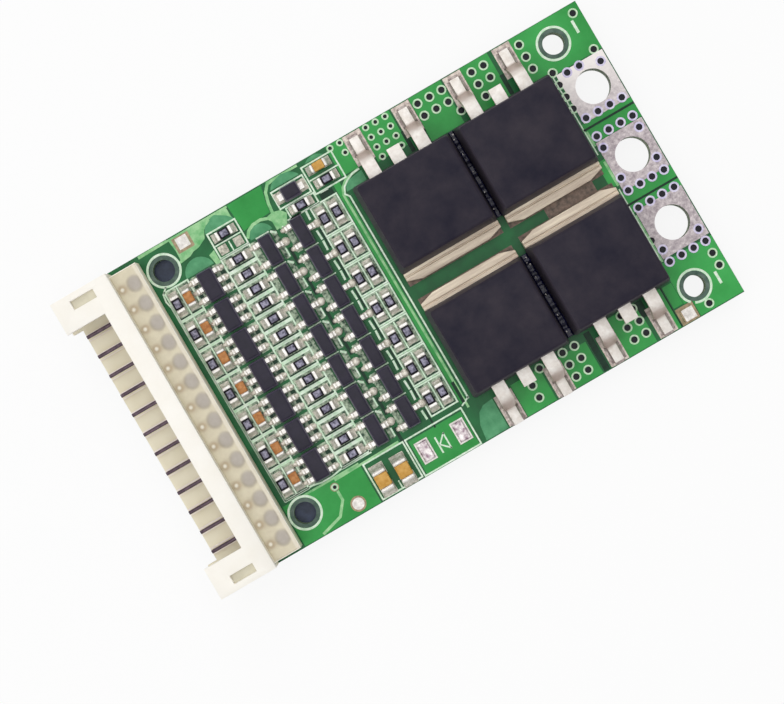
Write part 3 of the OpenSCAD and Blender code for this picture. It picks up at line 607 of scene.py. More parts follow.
def fillets(x, y, turn, width, reach, height, low):
    """Concave solder fillets: from the foot of a metal wall at (x, y) they run out along the angle turn,
    highest at the wall and falling with the square of the distance, a little lower towards both sides."""
    u, v = np.meshgrid(np.linspace(-1, 1, 7), np.linspace(0, 1, 6))
    x, y, turn, width, reach, height = (np.broadcast_to(np.asarray(a, float).reshape(-1, 1, 1),
                                                        (len(x), 1, 1))
                                        for a in (x, y, turn, width, reach, height))
    out = (v - 0.08) * reach * (1 - 0.12 * u ** 4)
    across = u * width / 2 * (1 + 0.06 * v)
    z = low + 0.012 + height * (1 - v) ** 1.8 * (1 - 0.45 * u ** 6)
    top = np.stack([x + out * np.cos(turn) - across * np.sin(turn),
                    y + out * np.sin(turn) + across * np.cos(turn), z], -1)
    return closed_sheets(top[:, :, ::-1], low)


# ---- Vias and mounting holes ----
# Plated holes join the copper of both faces; plugs fill them, coloured nearly black as painted shade in the
# hole, so they look nearly black inside their pale rings.
# The four screw holes have a bare ring, and a dark disc lies low in the two beside the header as painted
# shadow seen through them.

def disc(x, y, radius, z, count=20):
    """A flat round face at height z."""
    turn = np.linspace(0, 2 * math.pi, count, endpoint=False)
    return np.stack([x + radius * np.cos(turn), y + radius * np.sin(turn), np.full(count, z)], 1), \
        [np.arange(count)[None]]


def annulus(x, y, inner, outer, low, high, start=0, stop=360, count=48):
    """A flat ring, or part of one, with walls: circles of two radii at two heights joined all round."""
    full = stop - start >= 360
    turn = np.radians(np.linspace(start, stop, count, endpoint=not full))
    ring = np.stack([np.cos(turn), np.sin(turn)], 1)
    points = np.concatenate([np.c_[(x, y) + ring * r, np.full(count, z)]
                             for r, z in ((inner, low), (outer, low), (outer, high), (inner, high))])
    i = np.arange(count if full else count - 1)
    j = (i + 1) % count
    faces = [np.stack([i + a * count, j + a * count, j + b * count, i + b * count], 1)
             for a, b in ((1, 2), (2, 3), (3, 0))]
    if not full:
        k = count - 1
        faces += [np.array([[0, count, 2 * count, 3 * count]]),
                  np.array([[k + 3 * count, k + 2 * count, k + count, k]])]
    return points, faces


# Near-black plug colour: painted shade inside the via holes
via_plug_shade = coat("via_plug_shade", tone(2, 3, 8), tone(14, 16, 36), 0.5, 2.6, 0.3, grain_size=0.2, bump=0.5, gloss=0.2)
plugs = [disc(x, y, radius + 0.01, height) for x, y, radius in vias for height in (board_top - 0.12, 0.12)]
piece("via_plugs", *gather(plugs), via_plug_shade, "solder_mask", smooth=False)
# A dark disc low in the two screw holes by the header: painted shadow seen through the hole
hole_shadow = coat("painted_hole_shadow", tone(20, 34, 56), tone(64, 76, 108), 1.0, 2.2, 0.35, grain_size=0.3, bump=0.3,
            gloss=0.3)
piece("hole_shadow_discs", *gather([disc(x, y, 1.02, 0.25) for x, y, _ in screw_holes[:2]]), hole_shadow, "solder_mask",
      smooth=False)
dull_ring = coat("bare_ring", tone(36, 74, 58), tone(98, 116, 106), 0.8, 2.4, 0.4, grain_size=0.2, bump=0.3,
                 gloss=0.3)
piece("screw_hole_rings", *gather([annulus(x, y, 1.0, 1.375, board_top - 0.01, board_top + 0.006)
                                   for x, y, _ in screw_holes]), dull_ring, "solder_mask", smooth=False)

# ---- Printed marks ----
# White ink screened on the mask: rings round the screw holes, outlines round the parts and a few bars.
# The places of the lettering on the real board stay bare.

ink = coat("white_ink", tone(184, 224, 184), tone(240, 250, 236), 0.35, 2.6, 0.5, grain_size=0.08, bump=0.5,
           deep=0.00002)
ink_low, ink_high = board_top, board_top + 0.035


def ink_box(x0, y0, x1, y1, width=0.15):
    """A printed rectangle."""
    return ribbon(box_outline(x0, y0, x1, y1), width, ink_low, ink_high, closed=True)


mark_in, mark_out = 1.385, 1.6
marks = [annulus(x, y, mark_in, mark_out, ink_low, ink_high) for x, y, _ in screw_holes[:3]]
marks.append(annulus(*screw_holes[3][:2], mark_in, mark_out, ink_low, ink_high, start=-118, stop=226))
marks += [ribbon(route, width, ink_low, ink_high) for route, width in (
    ([(47.45, 1.4), (47.45, 2.65)], 0.26), ([(47.2, 27.3), (47.2, 28.5)], 0.26),
    ([(24.3, 3.25), (23.6, 3.3), (22.9, 3.6), (22.35, 4.0), (22.05, 4.6), (22.35, 5.0), (22.4, 26.0)], 0.16),
    ([(43.42, 4.9), (43.42, 13.0)], 0.12), ([(43.5, 16.6), (43.5, 24.0)], 0.12),
    ([(3.95, 3.7), (3.4, 4.2), (3.3, 4.9), (3.45, 5.6), (3.5, 25.7), (6.4, 25.72), (7.2, 25.9), (8.3, 25.9),
      (9.4, 25.72), (12.45, 25.62)], 0.15),
    ([(21.55, 26.3), (22.45, 25.85)], 0.15),
    ([(18.0, 27.5), (18.0, 29.1)], 0.16), ([(18.85, 27.5), (18.85, 29.1)], 0.14),
    ([(18.9, 27.5), (18.1, 28.3), (18.9, 29.1)], 0.14))]
marks += [ink_box(*corners) for corners in (
    (9.5, 1.5, 12.35, 4.0), (16.35, 1.15, 19.55, 2.85), (19.8, 0.6, 22.9, 3.3), (16.8, 3.05, 19.65, 4.05),
    (11.2, 26.4, 15.3, 30.0), (15.55, 26.4, 21.35, 30.08))]
marks += [ribbon(route, 0.13, ink_low, ink_high) for route in (
    [(9.6, 2.8), (12.25, 2.8)], [(19.9, 2.0), (22.8, 2.0)], [(13.25, 29.2), (13.25, 29.9)],
    [(20.2, 3.42), (21.0, 3.42)], [(10.9, 2.95), (10.9, 3.9)])]
for row in cell_rows:
    marks += [ink_box(3.55, row - 1.49, 5.95, row + 1.49, 0.15), ink_box(9.45, row - 1.49, 12.35,
                                                                         row - 0.08, 0.16),
              ink_box(9.45, row + 0.08, 12.35, row + 1.49, 0.16), ink_box(18.7, row - 1.47, 21.4,
                                                                          row + 1.47, 0.15)]
    marks += [ribbon([(x0, row + y0), (x1, row + y1)], width, ink_low, ink_high) for x0, y0, x1, y1,
              width in (
        (4.75, -1.4, 4.75, 1.4, 0.13), (20.02, -1.37, 20.02, 1.37, 0.14), (14.55, -1.5, 15.0, -1.1, 0.2),
        (15.0, 0.5, 15.0, 1.35, 0.16), (18.2, 0.55, 18.25, 1.5, 0.2), (18.25, -1.5, 18.2, -0.55, 0.2),
        (13.1, -1.55, 14.45, -1.55, 0.12), (16.4, -1.55, 17.8, -1.55, 0.12),
        (15.75, -1.35, 15.75, -0.6, 0.16))]
piece("printed_marks", *gather(marks), ink, "tinned_pad", smooth=False)

# Wider pale outlines of copper showing through the mask
outlines = [ribbon(route, width, board_top, board_top + 0.03) for route, width in (
    ([(6.0, 2.45), (7.2, 2.3), (8.4, 1.7), (9.0, 1.15), (9.6, 0.7), (10.3, 0.4)], 0.26),
    ([(12.5, 3.65), (12.9, 3.1), (13.5, 2.8), (14.3, 2.75), (15.0, 3.0), (15.3, 3.4), (15.3, 4.3)], 0.28),
    ([(15.55, 3.0), (15.7, 1.8), (15.95, 0.9), (16.6, 0.12)], 0.28),
    ([(22.0, 26.7), (21.9, 4.6), (22.15, 4.0), (22.8, 3.45), (24.3, 3.2)], 0.22),
    ([(43.6, 24.2), (43.6, 19.4)], 0.2), ([(43.6, 16.3), (43.6, 13.8)], 0.22),
    ([(43.6, 12.2), (43.6, 10.7)], 0.2),
    ([(8.05, 27.2), (8.05, 28.2), (7.1, 29.4), (5.0, 30.0)], 0.26), ([(8.3, 26.32), (15.0, 26.2)], 0.22),
    ([(3.2, 0.2), (12.3, 0.2)], 0.18), ([(41.7, 26.3), (41.75, 30.0)], 0.18),
    ([(5.1, 26.1), (10.9, 26.1)], 0.2))]
piece("pale_outlines", *gather(outlines), pale_mask, "solder_mask", smooth=False)

# Dark lines in the gaps between pads, between copper areas and beside parts
dark_line_finish = coat("dark_line_mask", tone(2, 34, 20), tone(10, 62, 38), 0.5, 2.4, 0.35, grain_size=0.3, bump=0.3,
            gloss=0.2)
dark_lines = [ribbon([(x0, row + y0), (x1, row + y1)], width, board_top, board_top + 0.03)
         for row in cell_rows for x0, y0, x1, y1, width in (
             (9.6, -0.24, 12.25, -0.24, 0.1), (9.6, 1.33, 12.25, 1.33, 0.12), (3.66, 1.34, 4.66, 1.34, 0.12),
             (4.86, 1.34, 5.86, 1.34, 0.12), (8.85, -0.48, 9.3, -0.48, 0.34), (8.85, 0.48, 9.3, 0.48, 0.34),
             (6.15, -0.48, 6.5, -0.48, 0.3), (6.15, 0.48, 6.5, 0.48, 0.3), (15.33, 0.62, 15.33, 2.4, 0.3),
             (18.5, 0.55, 18.5, 2.5, 0.16), (18.85, 1.33, 19.9, 1.33, 0.12),
             (20.15, 1.33, 21.25, 1.33, 0.12))]
dark_lines += [ribbon(route, width, board_top + 0.01, board_top + 0.035) for route, width in (
    ([(43.4, 10.5), (48.58, 10.5)], 0.2), ([(43.4, 18.27), (48.58, 18.27)], 0.2),
    ([(29.35, 2.3), (29.35, 4.4)], 0.4), ([(39.55, 2.4), (39.55, 4.4)], 0.4), ([(31.15, 0.1), (31.15, 3.4)],
                                                                               0.14),
    ([(39.85, 26.1), (39.85, 27.7)], 0.7), ([(34.45, 26.2), (34.45, 30.1)], 0.6),
    ([(42.2, 26.1), (42.2, 30.1)], 0.12),
    ([(20.0, 3.75), (21.3, 3.75)], 0.6), ([(9.6, 2.68), (12.25, 2.68)], 0.1),
    ([(21.85, 24.0), (21.85, 26.1)], 0.3))]
piece("dark_gap_lines", *gather(dark_lines), dark_line_finish, "solder_mask", smooth=False)

# ---- Tinned pads and terminals ----
# Bare copper levelled with hot tin: mottled grey with a mauve cast, paler at the rims.

tin_mauve = coat("tin_mauve", tone(142, 128, 136), tone(222, 212, 212), 0.3, 2.4, 0.42, metallic=0.15,
                 grain_size=0.12, bump=0.5, deep=0.00002)
tin_white = coat("tin_white", tone(196, 190, 184), tone(250, 246, 240), 0.3, 2.4, 0.4, metallic=0.15,
                 grain_size=0.1, bump=0.5, deep=0.00002)
dress("terminal_pads_underside", tin_mauve)
# The upper face's pads whiten towards the upper edge
top_tin = tin_mauve.copy()
top_tin.name = "tin_whitening"
tree, inlet, feed = colour_of(top_tin)
whitening = fade(tree, place_along(tree, "Y"), 0.0045, 0.0095, 0.9)
tree.links.new(blended(tree, whitening, feed, tone(246, 240, 236)), inlet)
dress("terminal_pads_upper_side", top_tin)
collar_tin = coat("collar_tin", tone(176, 164, 206), tone(226, 222, 236), 0.3, 2.2, 0.35, metallic=0.2,
                  grain_size=0.1)
terminal_x = float(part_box("terminal_pads_upper_side")[0][0] / MM)
by_terminal = vias[(vias[:, 0] > terminal_x) & (np.abs(vias[:, 1]) < 10.2)]
piece("via_collars", *gather([annulus(x, y, r, r + 0.17, board_top + 0.03, board_top + 0.06, count=24)
                              for x, y, r in by_terminal]), collar_tin, "tinned_pad", smooth=False)
dress("component_pads", coat("pad_tin", tone(128, 128, 112), tone(222, 216, 200), 0.3, 3.0, 0.4, metallic=0.1,
                             grain_size=0.1, bump=0.5, deep=0.00002))
dress("test_pads", tin_white)
# Lead pads are grey-mauve; the drain pads between the rows of transistors are darker and browner
pad_mauve = coat("bare_tin", tone(150, 132, 126), tone(236, 224, 212), 0.4, 2.6, 0.4, metallic=0.15,
                 grain_size=0.12,
                 bump=0.5, deep=0.00002)
tree, inlet, feed = colour_of(pad_mauve)
middle = tree.nodes.new("ShaderNodeMath")
middle.operation = "ABSOLUTE"
inner = tree.nodes.new("ShaderNodeMath")
inner.operation = "LESS_THAN"
inner.inputs[1].default_value = 0.006
tree.links.new(place_along(tree, "Y"), middle.inputs[0])
tree.links.new(middle.outputs[0], inner.inputs[0])
inner_brown = clouded(tree, 0.4, tone(58, 46, 36), tone(132, 108, 92), 2.6)
tree.links.new(blended(tree, inner.outputs[0], feed, inner_brown), inlet)
dress("transistor_pads", pad_mauve)
dress("via_rings", coat("ring_tin", tone(140, 196, 140), tone(222, 238, 214), 0.3, 2.2, 0.4, metallic=0.1,
                        grain_size=0.1))
dress("open_diode_pads", coat("bead_tin", tone(140, 114, 128), tone(244, 238, 236), 0.45, 3.4, 0.3,
                              metallic=0.3,
                              grain_size=0.2, bump=0.6, deep=0.00004))
copper_rim = coat("copper_rim", tone(112, 100, 66), tone(184, 160, 128), 0.3, 2.2, 0.45, metallic=0.1,
                  grain_size=0.1)
rims = [ribbon(box_outline(x0, y0, x1, y1), 0.26, board_top, board_top + 0.025, closed=True)
        for x0, y0, x1, y1 in ((6.6, 0.42, 8.0, 1.62), (42.45, 28.65, 43.95, 30.0),
                               (42.75, 28.9, 43.7, 29.8))]
rims.append(annulus(*spot(9.1, 29.2), 0.44, 0.72, board_top, board_top + 0.025))
rims.append(annulus(*spot(8.0, 26.85), 0.22, 0.4, board_top, board_top + 0.03, count=24))
piece("pad_rims", *gather(rims), copper_rim, "tinned_pad", smooth=False)
rim_in = 0.12
bead_rims = []
for low, high in solid_boxes("open_diode_pads"):
    near, far = low + rim_in, high - rim_in
    bead_rims.append(ribbon(box_outline(near[0] - board_low[0], board_high[1] - near[1],
                                        far[0] - board_low[0],
                                        board_high[1] - far[1]), 0.22, board_top, board_top + 0.12,
                                        closed=True))
piece("bead_rims", *gather(bead_rims), tin_white, "solder", smooth=False)

# ---- Balance header: ivory housing with fourteen flat contacts ----
# Injection moulded nylon, a little translucent, so the solder joints show as soft grey rounds behind the
# wall.
# It stands on the board's edge and its contacts are soldered through.


def softened(node, material, width, steps=2):
    """A copy of a CAD node with its loose triangles merged and its flat faces joined, whose sharp edges are
    rounded to the given width in millimetres; it stands in for the node."""
    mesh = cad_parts[node].data.copy()
    mesh.name = node + "_rounded"
    shape = bmesh.new()
    shape.from_mesh(mesh)
    bmesh.ops.remove_doubles(shape, verts=shape.verts, dist=1e-7)
    bmesh.ops.dissolve_limit(shape, angle_limit=math.radians(2), verts=shape.verts, edges=shape.edges)
    shape.to_mesh(mesh)
    shape.free()
    mesh.polygons.foreach_set("use_smooth", np.full(len(mesh.polygons), True))
    mesh.materials.clear()
    mesh.materials.append(material)
    obj = bpy.data.objects.new(node + "_rounded", mesh)
    bpy.context.scene.collection.objects.link(obj)
    edge = obj.modifiers.new("rounded_edges", "BEVEL")
    edge.width = width * MM
    edge.segments = steps
    edge.limit_method = "ANGLE"
    edge.angle_limit = math.radians(38)
    edge.harden_normals = True
    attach(obj, "root")
    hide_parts(node)


# Ivory that turns from beige low in the socket to near white on the roof: painted shade low down and painted
# light on the roof
ivory, tree, shader = new_material("ivory_nylon")
rise = fade(tree, place_along(tree, "Z"), 0.0028, 0.0060)
shaded_low_tone = clouded(tree, 3.0, tone(228, 219, 190), tone(240, 233, 210), 1.8)
lit_high_tone = clouded(tree, 3.0, tone(248, 243, 232), tone(254, 251, 244), 1.8)
tree.links.new(blended(tree, rise, shaded_low_tone, lit_high_tone), shader.inputs["Base Color"])
shader.inputs["Roughness"].default_value = 0.42
grained(tree, shader, 0.25, 0.2, 0.00001)
softened("header_housing", ivory, 0.12, 2)

# The tinned contacts are coloured dark purple-brown as painted reflection and shade
contact_dark_reflection = coat("contact_dark_reflection", tone(58, 42, 54), tone(104, 84, 96), 0.4, 2.4, 0.35, metallic=0.3,
                   grain_size=0.2)
softened("header_pins", contact_dark_reflection, 0.04, 1)
joint_solder = coat("joint_solder", tone(120, 110, 116), tone(190, 182, 184), 0.4, 2.4, 0.3, metallic=0.5,
                    grain_size=0.3, bump=0.5, deep=0.00003)
dress("header_solder_joints", joint_solder)

# The rear block's top: a crowned skin with a soft grey round over each joint, where the joint shows through
# the nylon, edged with a painted shade ring; a raised dot at each contact's bend with a painted highlight and
# a painted shade ring round it; painted shade in the trough by the wall and a paler rim of painted light;
# height and tint are sums of smooth bumps round each contact
pin_y = np.sort(solid_boxes("header_solder_joints")[:, :, 1].mean(1))
_, co = corners_of("header_housing")
rear_edge = co[:, 0].max()
rear = co[co[:, 0] > rear_edge - 0.01]
rear_top = float(rear[:, 2].max())
rear_low_y, rear_high_y = float(rear[:, 1].min()), float(rear[:, 1].max())
wall_x = spot(0.25, 0)[0]
x_line = np.linspace(wall_x + 0.02, rear_edge - 0.06, 44)
y_line = np.linspace(rear_low_y + 0.08, rear_high_y - 0.08, 470)
x_grid, y_grid = np.meshgrid(x_line, y_line)
from_pin = y_grid[..., None] - pin_y


def bump(x_middle, x_half, y_half, power):
    """Sum over the contacts of a round bump that falls off smoothly past its half widths."""
    far = ((x_grid - x_middle)[..., None] / x_half) ** 2 + (from_pin / y_half) ** 2
    return np.exp(-far ** power).sum(-1)


round_x, dot_x = spot(1.98, 0)[0], spot(0.72, 0)[0]
rounds = np.clip(bump(round_x, 0.66, 0.72, 3), 0, 1)
dots = np.clip(bump(dot_x, 0.16, 0.17, 2), 0, 1)
rings = np.clip(rounds - bump(round_x, 0.56, 0.62, 3), 0, 1)
dot_shade_rings = np.clip(bump(dot_x + 0.04, 0.42, 0.42, 2) - bump(dot_x, 0.2, 0.2, 2), 0, 1)
trough_shade = np.clip(bump(spot(1.25, 0)[0], 1.5, 0.55, 2), 0, 1)
rim = np.clip((x_grid - (rear_edge - 0.42)) / 0.12, 0, 1)
edge_fall = np.minimum.reduce([(x_grid - x_line[0]) / 0.1, (x_line[-1] - x_grid) / 0.1,
                               (y_grid - y_line[0]) / 0.1, (y_line[-1] - y_grid) / 0.1]).clip(0, 1)
height = rear_top + 0.01 + edge_fall * (0.02 + 0.11 * rounds * (1 - rim) + 0.06 * dots)
# Painted light in these tints: the trough by the wall, the dark ring round each grey round and the ring round
# each dot are painted shade, the pale rim is painted light and the bright dot is a painted highlight
tints = {name: np.array(tone(*rgb)[:3]) for name, rgb in (
    ("beige", (226, 217, 190)), ("shade", (208, 197, 170)), ("round", (184, 176, 168)),
    ("dot_glint", (255, 250, 236)),
    ("dot_shade", (188, 166, 134)), ("rim", (238, 230, 210)), ("ring", (150, 142, 138)))}
tint = np.broadcast_to(tints["beige"], (*x_grid.shape, 3)).copy()
for name, mask in (("shade", trough_shade * 0.8), ("round", rounds * 0.9), ("ring", rings * 0.55), ("rim", rim),
                   ("dot_shade", dot_shade_rings * 0.85), ("dot_glint", dots)):
    tint += (tints[name] - tint) * mask[..., None]
crown_points, crown_faces = closed_sheets(np.stack([x_grid, y_grid, height], -1)[None], rear_top - 0.03)
translucent, tree, shader = new_material("joint_shadows")
skin_tint_node = tree.nodes.new("ShaderNodeAttribute")
skin_tint_node.attribute_name = "tint"
shade = clouded(tree, 0.8, (0.86, 0.84, 0.82, 1), (1.0, 1.0, 1.0, 1), 2.0)
tree.links.new(blended(tree, 1.0, skin_tint_node.outputs["Color"], shade, "MULTIPLY"), shader.inputs["Base Color"])
shader.inputs["Roughness"].default_value = 0.4
crown = piece("header_rear_skin", crown_points, crown_faces, translucent, "ivory_nylon")
skin_tint_layer = crown.data.color_attributes.new("tint", "FLOAT_COLOR", "POINT")
both = np.concatenate([tint.reshape(-1, 3)] * 2)
skin_tint_layer.data.foreach_set("color", np.c_[both, np.ones(len(both))].ravel().astype(np.float32))

# Low ribs on the socket's floor, one on each side of every contact, paler than the floor as painted highlight
# lines beside the contacts
base_t = 0.8
socket_floor = board_top + base_t
rib_front, rib_back = spot(-4.3, 0)[0], spot(-1.6, 0)[0]
rib_highlight = coat("painted_rib_highlight", tone(236, 222, 214), tone(250, 242, 236), 1.0, 1.6, 0.4, grain_size=0.2)
ribs = [slab([(rib_front, y + a), (rib_back, y + a), (rib_back, y + b), (rib_front, y + b)],
             socket_floor - 0.02,
             socket_floor + 0.25) for y in pin_y for a, b in ((0.2, 0.32), (-0.32, -0.24))]
piece("highlight_ribs", *gather(ribs), rib_highlight, "ivory_nylon", smooth=False)

# Beige floors of the locking slots in the two guide ears, darker than the ivory as painted shade in the
# recesses
slot_shade_tone = coat("slot_shade", tone(200, 194, 170), tone(220, 214, 192), 1.0, 1.8, 0.45, grain_size=0.2)
slot_deep = 0.4
sunk = co[np.abs(co[:, 2] - (co[:, 2].max() - slot_deep)) < 0.03]
slot_floor = []
for ear in (sunk[sunk[:, 1] > pin_y.mean()], sunk[sunk[:, 1] < pin_y.mean()]):
    low, high = ear.min(0) + 0.03, ear.max(0) - 0.03
    slot_floor.append(slab([(low[0], low[1]), (high[0], low[1]), (high[0], high[1]), (low[0], high[1])],
                           high[2] - 0.02, high[2] + 0.06))
piece("slot_floors", *gather(slot_floor), slot_shade_tone, "ivory_nylon", smooth=False)

# ---- Power transistors: four moulded bodies on drain tabs, with two gull-wing leads and a cut one each ----
# Black epoxy on a tinned copper tab; leads are stamped, bent and soldered to pads at the board's edges.

epoxy = coat("black_epoxy", tone(22, 19, 38), tone(50, 44, 54), 2.6, 2.4, 0.55, grain_size=0.12, bump=0.35,
             gloss=0.2)
# Painted sheen: the bodies' drafted sides and rounded edges lighter, as lit by the lamps
add_edge(epoxy, tone(66, 60, 70), 0.25, 0.97)
tab_tin = coat("tab_tin", tone(192, 172, 154), tone(244, 230, 206), 0.35, 2.4, 0.4, metallic=0.15,
               grain_size=0.08, bump=0.5, deep=0.00002, stretch=(0.08, 1, 1))
lead_tin = coat("lead_tin", tone(222, 212, 202), tone(254, 250, 244), 0.6, 2.0, 0.4, metallic=0.1,
                grain_size=0.1, bump=0.4, deep=0.00002)
# Painted shade: the leads' bent slopes and rounded edges darker
add_edge(lead_tin, tone(186, 166, 156), 0.3, 0.95)
for k in "1234":
    softened(f"transistor_{k}_body", epoxy, 0.3, 3)
    softened(f"transistor_{k}_tab", tab_tin, 0.1, 2)
    softened(f"transistor_{k}_leads", lead_tin, 0.07, 2)
# Solder along both sides of every foot
foot_solder = coat("foot_solder", tone(138, 120, 118), tone(214, 202, 196), 0.4, 2.8, 0.3, metallic=0.35,
                   grain_size=0.15, bump=0.6, deep=0.00003)
pad_top = float(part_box("transistor_pads")[1][2] / MM)
strips = []
for k in "1234":
    lead_boxes = solid_boxes(f"transistor_{k}_leads")
    long_ones = lead_boxes[lead_boxes[:, 0, 2] < pad_top + 0.2]
    body_y = np.mean([corner[1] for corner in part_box(f"transistor_{k}_body")]) / MM
    for low, high in long_ones:
        outward = 1 if (low[1] + high[1]) / 2 > body_y else -1
        tip = high[1] if outward > 0 else low[1]
        x_middle = (low[0] + high[0]) / 2
        for side in (-1, 1):
            strips.append((x_middle + side * 0.42, tip - outward * 0.85, 0 if side > 0 else math.pi, 1.6,
                           0.36, 0.42))
        strips.append((x_middle, tip - outward * 0.02, outward * math.pi / 2, 0.9, 0.3, 0.3))
strips = np.array(strips)
solder_points, solder_faces = fillets(*strips.T, pad_top)
solder_points[:, 1] = np.clip(solder_points[:, 1], board_low[1] + 0.02, board_high[1] - 0.02)
piece("lead_foot_solder", solder_points, solder_faces, foot_solder, "solder")

# A dark strip as painted shadow in the gap between the bodies, with a few bright specks as painted glints
gap_shadow_finish = coat("painted_gap_shadow", tone(5, 5, 26), tone(22, 22, 58), 0.6, 2.6, 0.25, grain_size=0.25, bump=0.8,
               deep=0.00006, gloss=0.4)
fill, specks = [], []
for left, right in (("1", "2"), ("3", "4")):
    left_low, left_high = (np.array(corner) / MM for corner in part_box(f"transistor_{left}_body"))
    right_low, right_high = (np.array(corner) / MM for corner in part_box(f"transistor_{right}_body"))
    if left_low[0] > right_low[0]:
        left_low, left_high, right_low, right_high = right_low, right_high, left_low, left_high
    across = np.linspace(left_high[0] + 0.01, right_low[0] - 0.01, 5)
    along = np.linspace(max(left_low[1], right_low[1]) + 0.15, min(left_high[1], right_high[1]) - 0.05, 60)
    x_fill, y_fill = np.meshgrid(across, along)
    crest = board_top + 1.1 + 0.12 * np.sin(y_fill * 4.1 + left_low[1]) + 0.08 * np.sin(y_fill * 9.7)
    fill.append(closed_sheets(np.stack([x_fill, y_fill, crest], -1)[None], board_top + 0.02))
    middle = (left_high[0] + right_low[0]) / 2
    steps = np.array([0.35, 0.8, 1.05, 2.3, 4.1, 6.2, 7.9])
    specks.append(mounds(np.c_[middle + 0.12 * np.sin(steps * 7), along[-1] - steps], 0.13, 0.2, 0.1,
                         board_top + 1.12))
piece("painted_gap_shadow", *gather(fill), gap_shadow_finish, "black_epoxy")
piece("painted_gap_glints", *gather(specks), tin_white, "solder")

# ---- Cell circuits: small chips and transistors ----
# Seven equal rows, each with a six-lead monitor chip and two three-lead transistors in small black packages.
# Gull-wing leads stand on tinned pads and end in lumps of bright solder.

chip_epoxy = coat("chip_epoxy", tone(14, 11, 30), tone(36, 30, 50), 0.8, 2.0, 0.3, grain_size=0.1, bump=0.3,
                  gloss=0.25)
# Painted highlight on the chips' rounded edges and drafted ends
add_edge(chip_epoxy, tone(104, 98, 116), 0.3, 0.98)
bright_tin = coat("bright_tin", tone(216, 210, 202), tone(255, 253, 250), 0.3, 2.0, 0.25, metallic=0.25,
                  grain_size=0.1)
bright_solder = coat("bright_solder", tone(176, 168, 150), tone(250, 244, 232), 0.25, 2.8, 0.3, metallic=0.15,
                     grain_size=0.12, bump=0.5, deep=0.00003)
for node in ("monitor_chip_bodies", "inner_transistor_bodies", "outer_transistor_bodies", "clamp_diode_body"):
    softened(node, chip_epoxy, 0.12, 2)
for node in ("monitor_chip_leads", "inner_transistor_leads", "outer_transistor_leads", "clamp_diode_leads"):
    dress(node, bright_tin)
lumps = []
for leads, bodies in (("monitor_chip_leads", "monitor_chip_bodies"),
                      ("inner_transistor_leads", "inner_transistor_bodies"),
                      ("outer_transistor_leads", "outer_transistor_bodies")):
    body_x = solid_boxes(bodies)[:, :, 0].mean()
    boxes = solid_boxes(leads)
    right = boxes[:, :, 0].mean(1) > body_x
    tip_x = np.where(right, boxes[:, 1, 0], boxes[:, 0, 0])
    tip_y = boxes[:, :, 1].mean(1)
    single = right & (leads != "monitor_chip_leads")
    outward = np.where(right, 1, -1)
    lumps.append(mounds(np.c_[tip_x + outward * 0.2, tip_y][~single], 0.52, 0.44, 0.12, pad_top))
    if single.any():
        lumps.append(mounds(np.c_[tip_x + 0.28, tip_y][single], 0.85, 0.78, 0.22, pad_top))
piece("lead_solder", *gather(lumps), bright_solder, "solder")

# ---- Resistors and capacitors ----
# Ceramic chips with tinned metal ends, held by a solder fillet at each end; resistors carry a grey glaze
# on top.

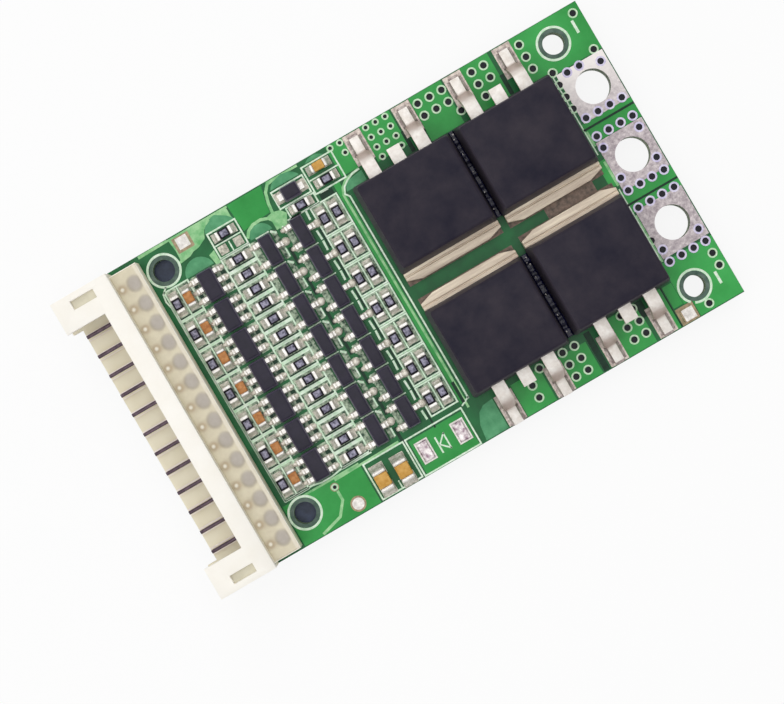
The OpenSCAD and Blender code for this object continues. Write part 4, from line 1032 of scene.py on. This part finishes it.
black_ceramic = coat("black_ceramic", tone(8, 7, 14), tone(30, 27, 36), 0.4, 2.0, 0.35, grain_size=0.1,
                     gloss=0.25)
glaze = coat("resistor_glaze", tone(74, 72, 92), tone(172, 168, 190), 0.26, 3.4, 0.35, grain_size=0.1,
             gloss=0.3)
brown = coat("brown_ceramic", tone(158, 92, 38), tone(210, 150, 92), 0.4, 2.4, 0.45, grain_size=0.1,
             gloss=0.3)
tan = coat("tan_ceramic", tone(190, 136, 48), tone(222, 176, 96), 0.5, 2.2, 0.45, grain_size=0.1, gloss=0.3)
fillet_tin = coat("fillet_tin", tone(176, 170, 156), tone(238, 234, 224), 0.25, 2.6, 0.28, metallic=0.3,
                  grain_size=0.12, bump=0.5, deep=0.00003)
panels, wedges = [], []
for kind, bodies, ends, body_finish, slot, soft in (
        ("supply_resistor", "bodies", "ends", black_ceramic, "resistor_glaze", 0.03),
        ("divider_resistor", "bodies", "ends", black_ceramic, "resistor_glaze", 0.03),
        ("bleed_resistor", "bodies", "ends", black_ceramic, "resistor_glaze", 0.03),
        ("logic_resistor", "bodies", "ends", black_ceramic, "resistor_glaze", 0.03),
        ("filter_capacitor", "bodies", "ends", brown, "brown_ceramic", 0.06),
        ("timing_capacitor", "body", "ends", tan, "tan_ceramic", 0.06),
        ("reservoir_capacitor", "bodies", "ends", tan, "tan_ceramic", 0.08)):
    softened(f"{kind}_{bodies}", body_finish, soft, 1)
    softened(f"{kind}_{ends}", bright_tin, soft * 2, 2)
    body_boxes, end_boxes = solid_boxes(f"{kind}_{bodies}"), solid_boxes(f"{kind}_{ends}")
    body_mid, end_mid = body_boxes.mean(1)[:, :2], end_boxes.mean(1)[:, :2]
    gap = np.linalg.norm(end_mid[:, None] - body_mid, axis=2)
    away = end_mid - body_mid[gap.argmin(1)]
    along_x = np.abs(away[:, 0]) > np.abs(away[:, 1])
    side = np.where(along_x, np.sign(away[:, 0]), np.sign(away[:, 1]))
    turn = np.where(along_x, np.where(side > 0, 0, math.pi), side * math.pi / 2)
    size = end_boxes[:, 1] - end_boxes[:, 0]
    half = np.where(along_x, size[:, 0], size[:, 1]) / 2
    width = np.where(along_x, size[:, 1], size[:, 0]) * 0.96
    tall = size[:, 2]
    wedges.append(fillets(end_mid[:, 0] + half * np.cos(turn), end_mid[:, 1] + half * np.sin(turn), turn,
                          width,
                          0.2 + 0.25 * tall, tall * 0.8, pad_top))
    if "resistor" in kind:
        low, high = body_boxes[:, 0], body_boxes[:, 1]
        u, v = np.meshgrid(np.linspace(-1, 1, 7), np.linspace(-1, 1, 7))
        middle = (low + high)[:, None, None] / 2
        reach = (high - low)[:, None, None] / 2 * 0.68
        top = np.stack([middle[..., 0] + u * reach[..., 0], middle[..., 1] + v * reach[..., 1],
                        high[:, None, None, 2] + 0.005 + 0.03 * (1 - u ** 4) * (1 - v ** 4)], -1)
        panels.append(closed_sheets(top, high[:, 2] - 0.02))
piece("resistor_tops", *gather(panels), glaze, "resistor_glaze")
piece("end_solder", *gather(wedges), fillet_tin, "solder")
